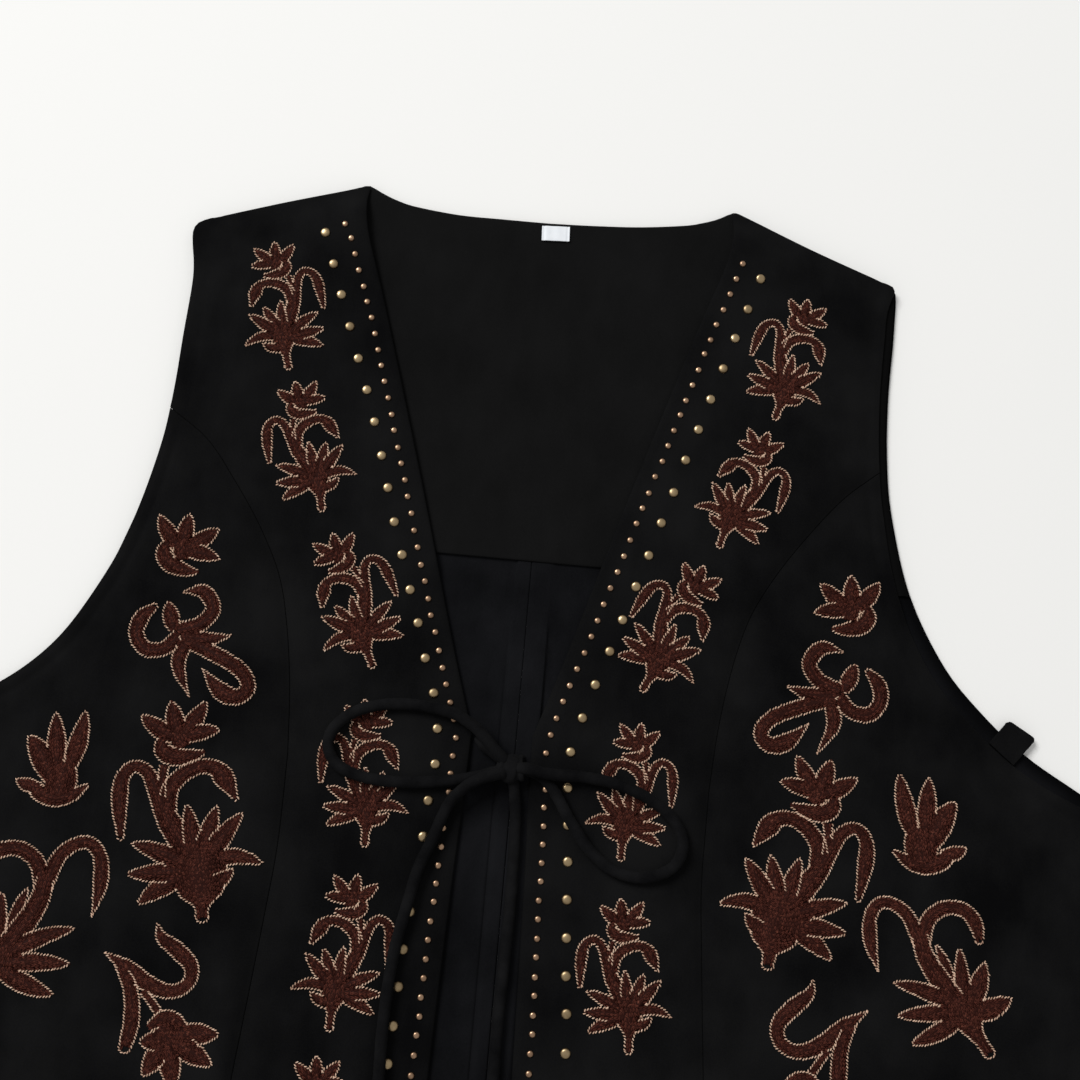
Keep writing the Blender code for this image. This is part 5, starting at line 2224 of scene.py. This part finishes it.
@dataclass
class Studio:
    """The pale surface, the soft light and the camera at the photograph's angle."""

    lens: float = 43.33
    sensor: float = 36.0
    camera_place: tuple[float, float, float] = (0.00408, 0.01695, 0.5444)
    yaw: float = -2.49
    tilt: float = 10.11
    roll: float = 7.72
    floor_size: float = 4.0
    ambient: float = 0.45
    key_power: float = 154.0
    key_size: float = 1.9
    key_place: tuple[float, float, float] = (-2.4, 2.1, 3.3)

    def floor(self) -> bpy.types.Object:
        """Adds the surface that the vest lies on.

        Returns:
            The surface.
        """
        deselect()
        bpy.ops.mesh.primitive_plane_add(size=self.floor_size, location=(0.0, 0.0, 0.0))
        board = bpy.context.object
        board.name = board.data.name = "pale_board"
        bpy.ops.object.mode_set(mode="EDIT")
        bpy.ops.mesh.select_all(action="SELECT")
        bpy.ops.transform.translate(value=(0.0, 0.0, -0.0003))
        bpy.ops.object.mode_set(mode="OBJECT")
        board.data.materials.append(PaleBoard().material())
        return board

    def light(self) -> None:
        """Adds soft light all round and a broad soft light from the upper left."""
        world = bpy.data.worlds.new("soft_room")
        world.use_nodes = True
        world.node_tree.nodes["Background"].inputs["Color"].default_value = (1.0, 0.993, 0.982, 1.0)
        world.node_tree.nodes["Background"].inputs["Strength"].default_value = self.ambient
        bpy.context.scene.world = world
        key = bpy.data.lights.new("window", "AREA")
        key.shape = "SQUARE"
        key.size = self.key_size
        key.energy = self.key_power
        key.color = (1.0, 0.998, 0.985)
        lamp = bpy.data.objects.new("window", key)
        lamp.location = self.key_place
        aim = Vector((-0.05, 0.05, 0.0)) - Vector(self.key_place)
        lamp.rotation_euler = aim.to_track_quat("-Z", "Y").to_euler()
        bpy.context.scene.collection.objects.link(lamp)

    def camera(self) -> None:
        """Adds the camera at the photograph's angle."""
        data = bpy.data.cameras.new("photo_view")
        data.lens = self.lens
        data.sensor_width = self.sensor
        data.sensor_fit = "HORIZONTAL"
        data.clip_start = 0.01
        camera = bpy.data.objects.new("photo_view", data)
        turn = (
            Matrix.Rotation(math.radians(self.yaw), 4, "Z")
            @ Matrix.Rotation(math.radians(self.tilt), 4, "X")
            @ Matrix.Rotation(math.radians(self.roll), 4, "Z")
        )
        camera.matrix_world = Matrix.Translation(self.camera_place) @ turn
        bpy.context.scene.collection.objects.link(camera)
        bpy.context.scene.camera = camera


def main() -> None:
    """Sets the camera, builds the vest's pieces in order, and adds the surface and the light."""
    logging.basicConfig(level=logging.INFO, format="%(message)s")
    outer = Suede("black_suede", (0.0026, 0.0026, 0.0029), (0.0078, 0.0078, 0.0081)).material()
    inner = Suede("inside_suede", (0.0034, 0.0035, 0.0041), (0.0090, 0.0092, 0.0107)).material()
    facing = Suede(
        "facing_suede", (0.0046, 0.0046, 0.0047), (0.0082, 0.0082, 0.0084), mottle=1.6
    ).material()
    tie = Suede(
        "tie_suede", (0.0030, 0.0030, 0.0034), (0.0080, 0.0080, 0.0086), patch_scale=90.0
    ).material()
    thread = Yarn(
        "chain_thread", (0.022, 0.0059, 0.0043), (0.096, 0.0272, 0.0183), (0.155, 0.049, 0.031)
    ).material()
    cord = Yarn("outline_thread", (0.34, 0.205, 0.14), (0.78, 0.54, 0.40), (0.88, 0.70, 0.56)).material()
    brass = AntiqueBrass().material()
    copper = AntiqueBrass("antique_copper", (0.48, 0.31, 0.20), (0.095, 0.053, 0.03)).material()
    studio = Studio()
    studio.camera()
    TieBow(tie).build()
    for side in Side:
        Backs(inner).half(side)
    NeckFacing(facing).build()
    SizeLabel(SatinTape().material()).build()
    HangerLoop(outer).build()
    motifs = {
        "spray": Motif(spray(57.5, SMALL_STALK)),
        "great_spray": Motif(spray(88.0, GREAT_STALK)),
        "sprig": Motif(sprig(87.0)),
        "scroll": Motif(scroll()),
        "bud": Motif(bud()),
        "arching_fan": Motif(arching_fan()),
        "starflower": Motif(starflower()),
    }
    for side in Side:
        surface = FrontSurface(side)
        fronts = Fronts(side, surface, outer)
        fronts.centre()
        fronts.side_panel()
        StudRows(side, surface, brass, copper).build()
        Embroidery(side, surface, thread, cord, motifs).build()
    studio.floor()
    studio.light()
    bpy.context.scene.view_settings.view_transform = "Standard"


if __name__ == "__main__":
    main()
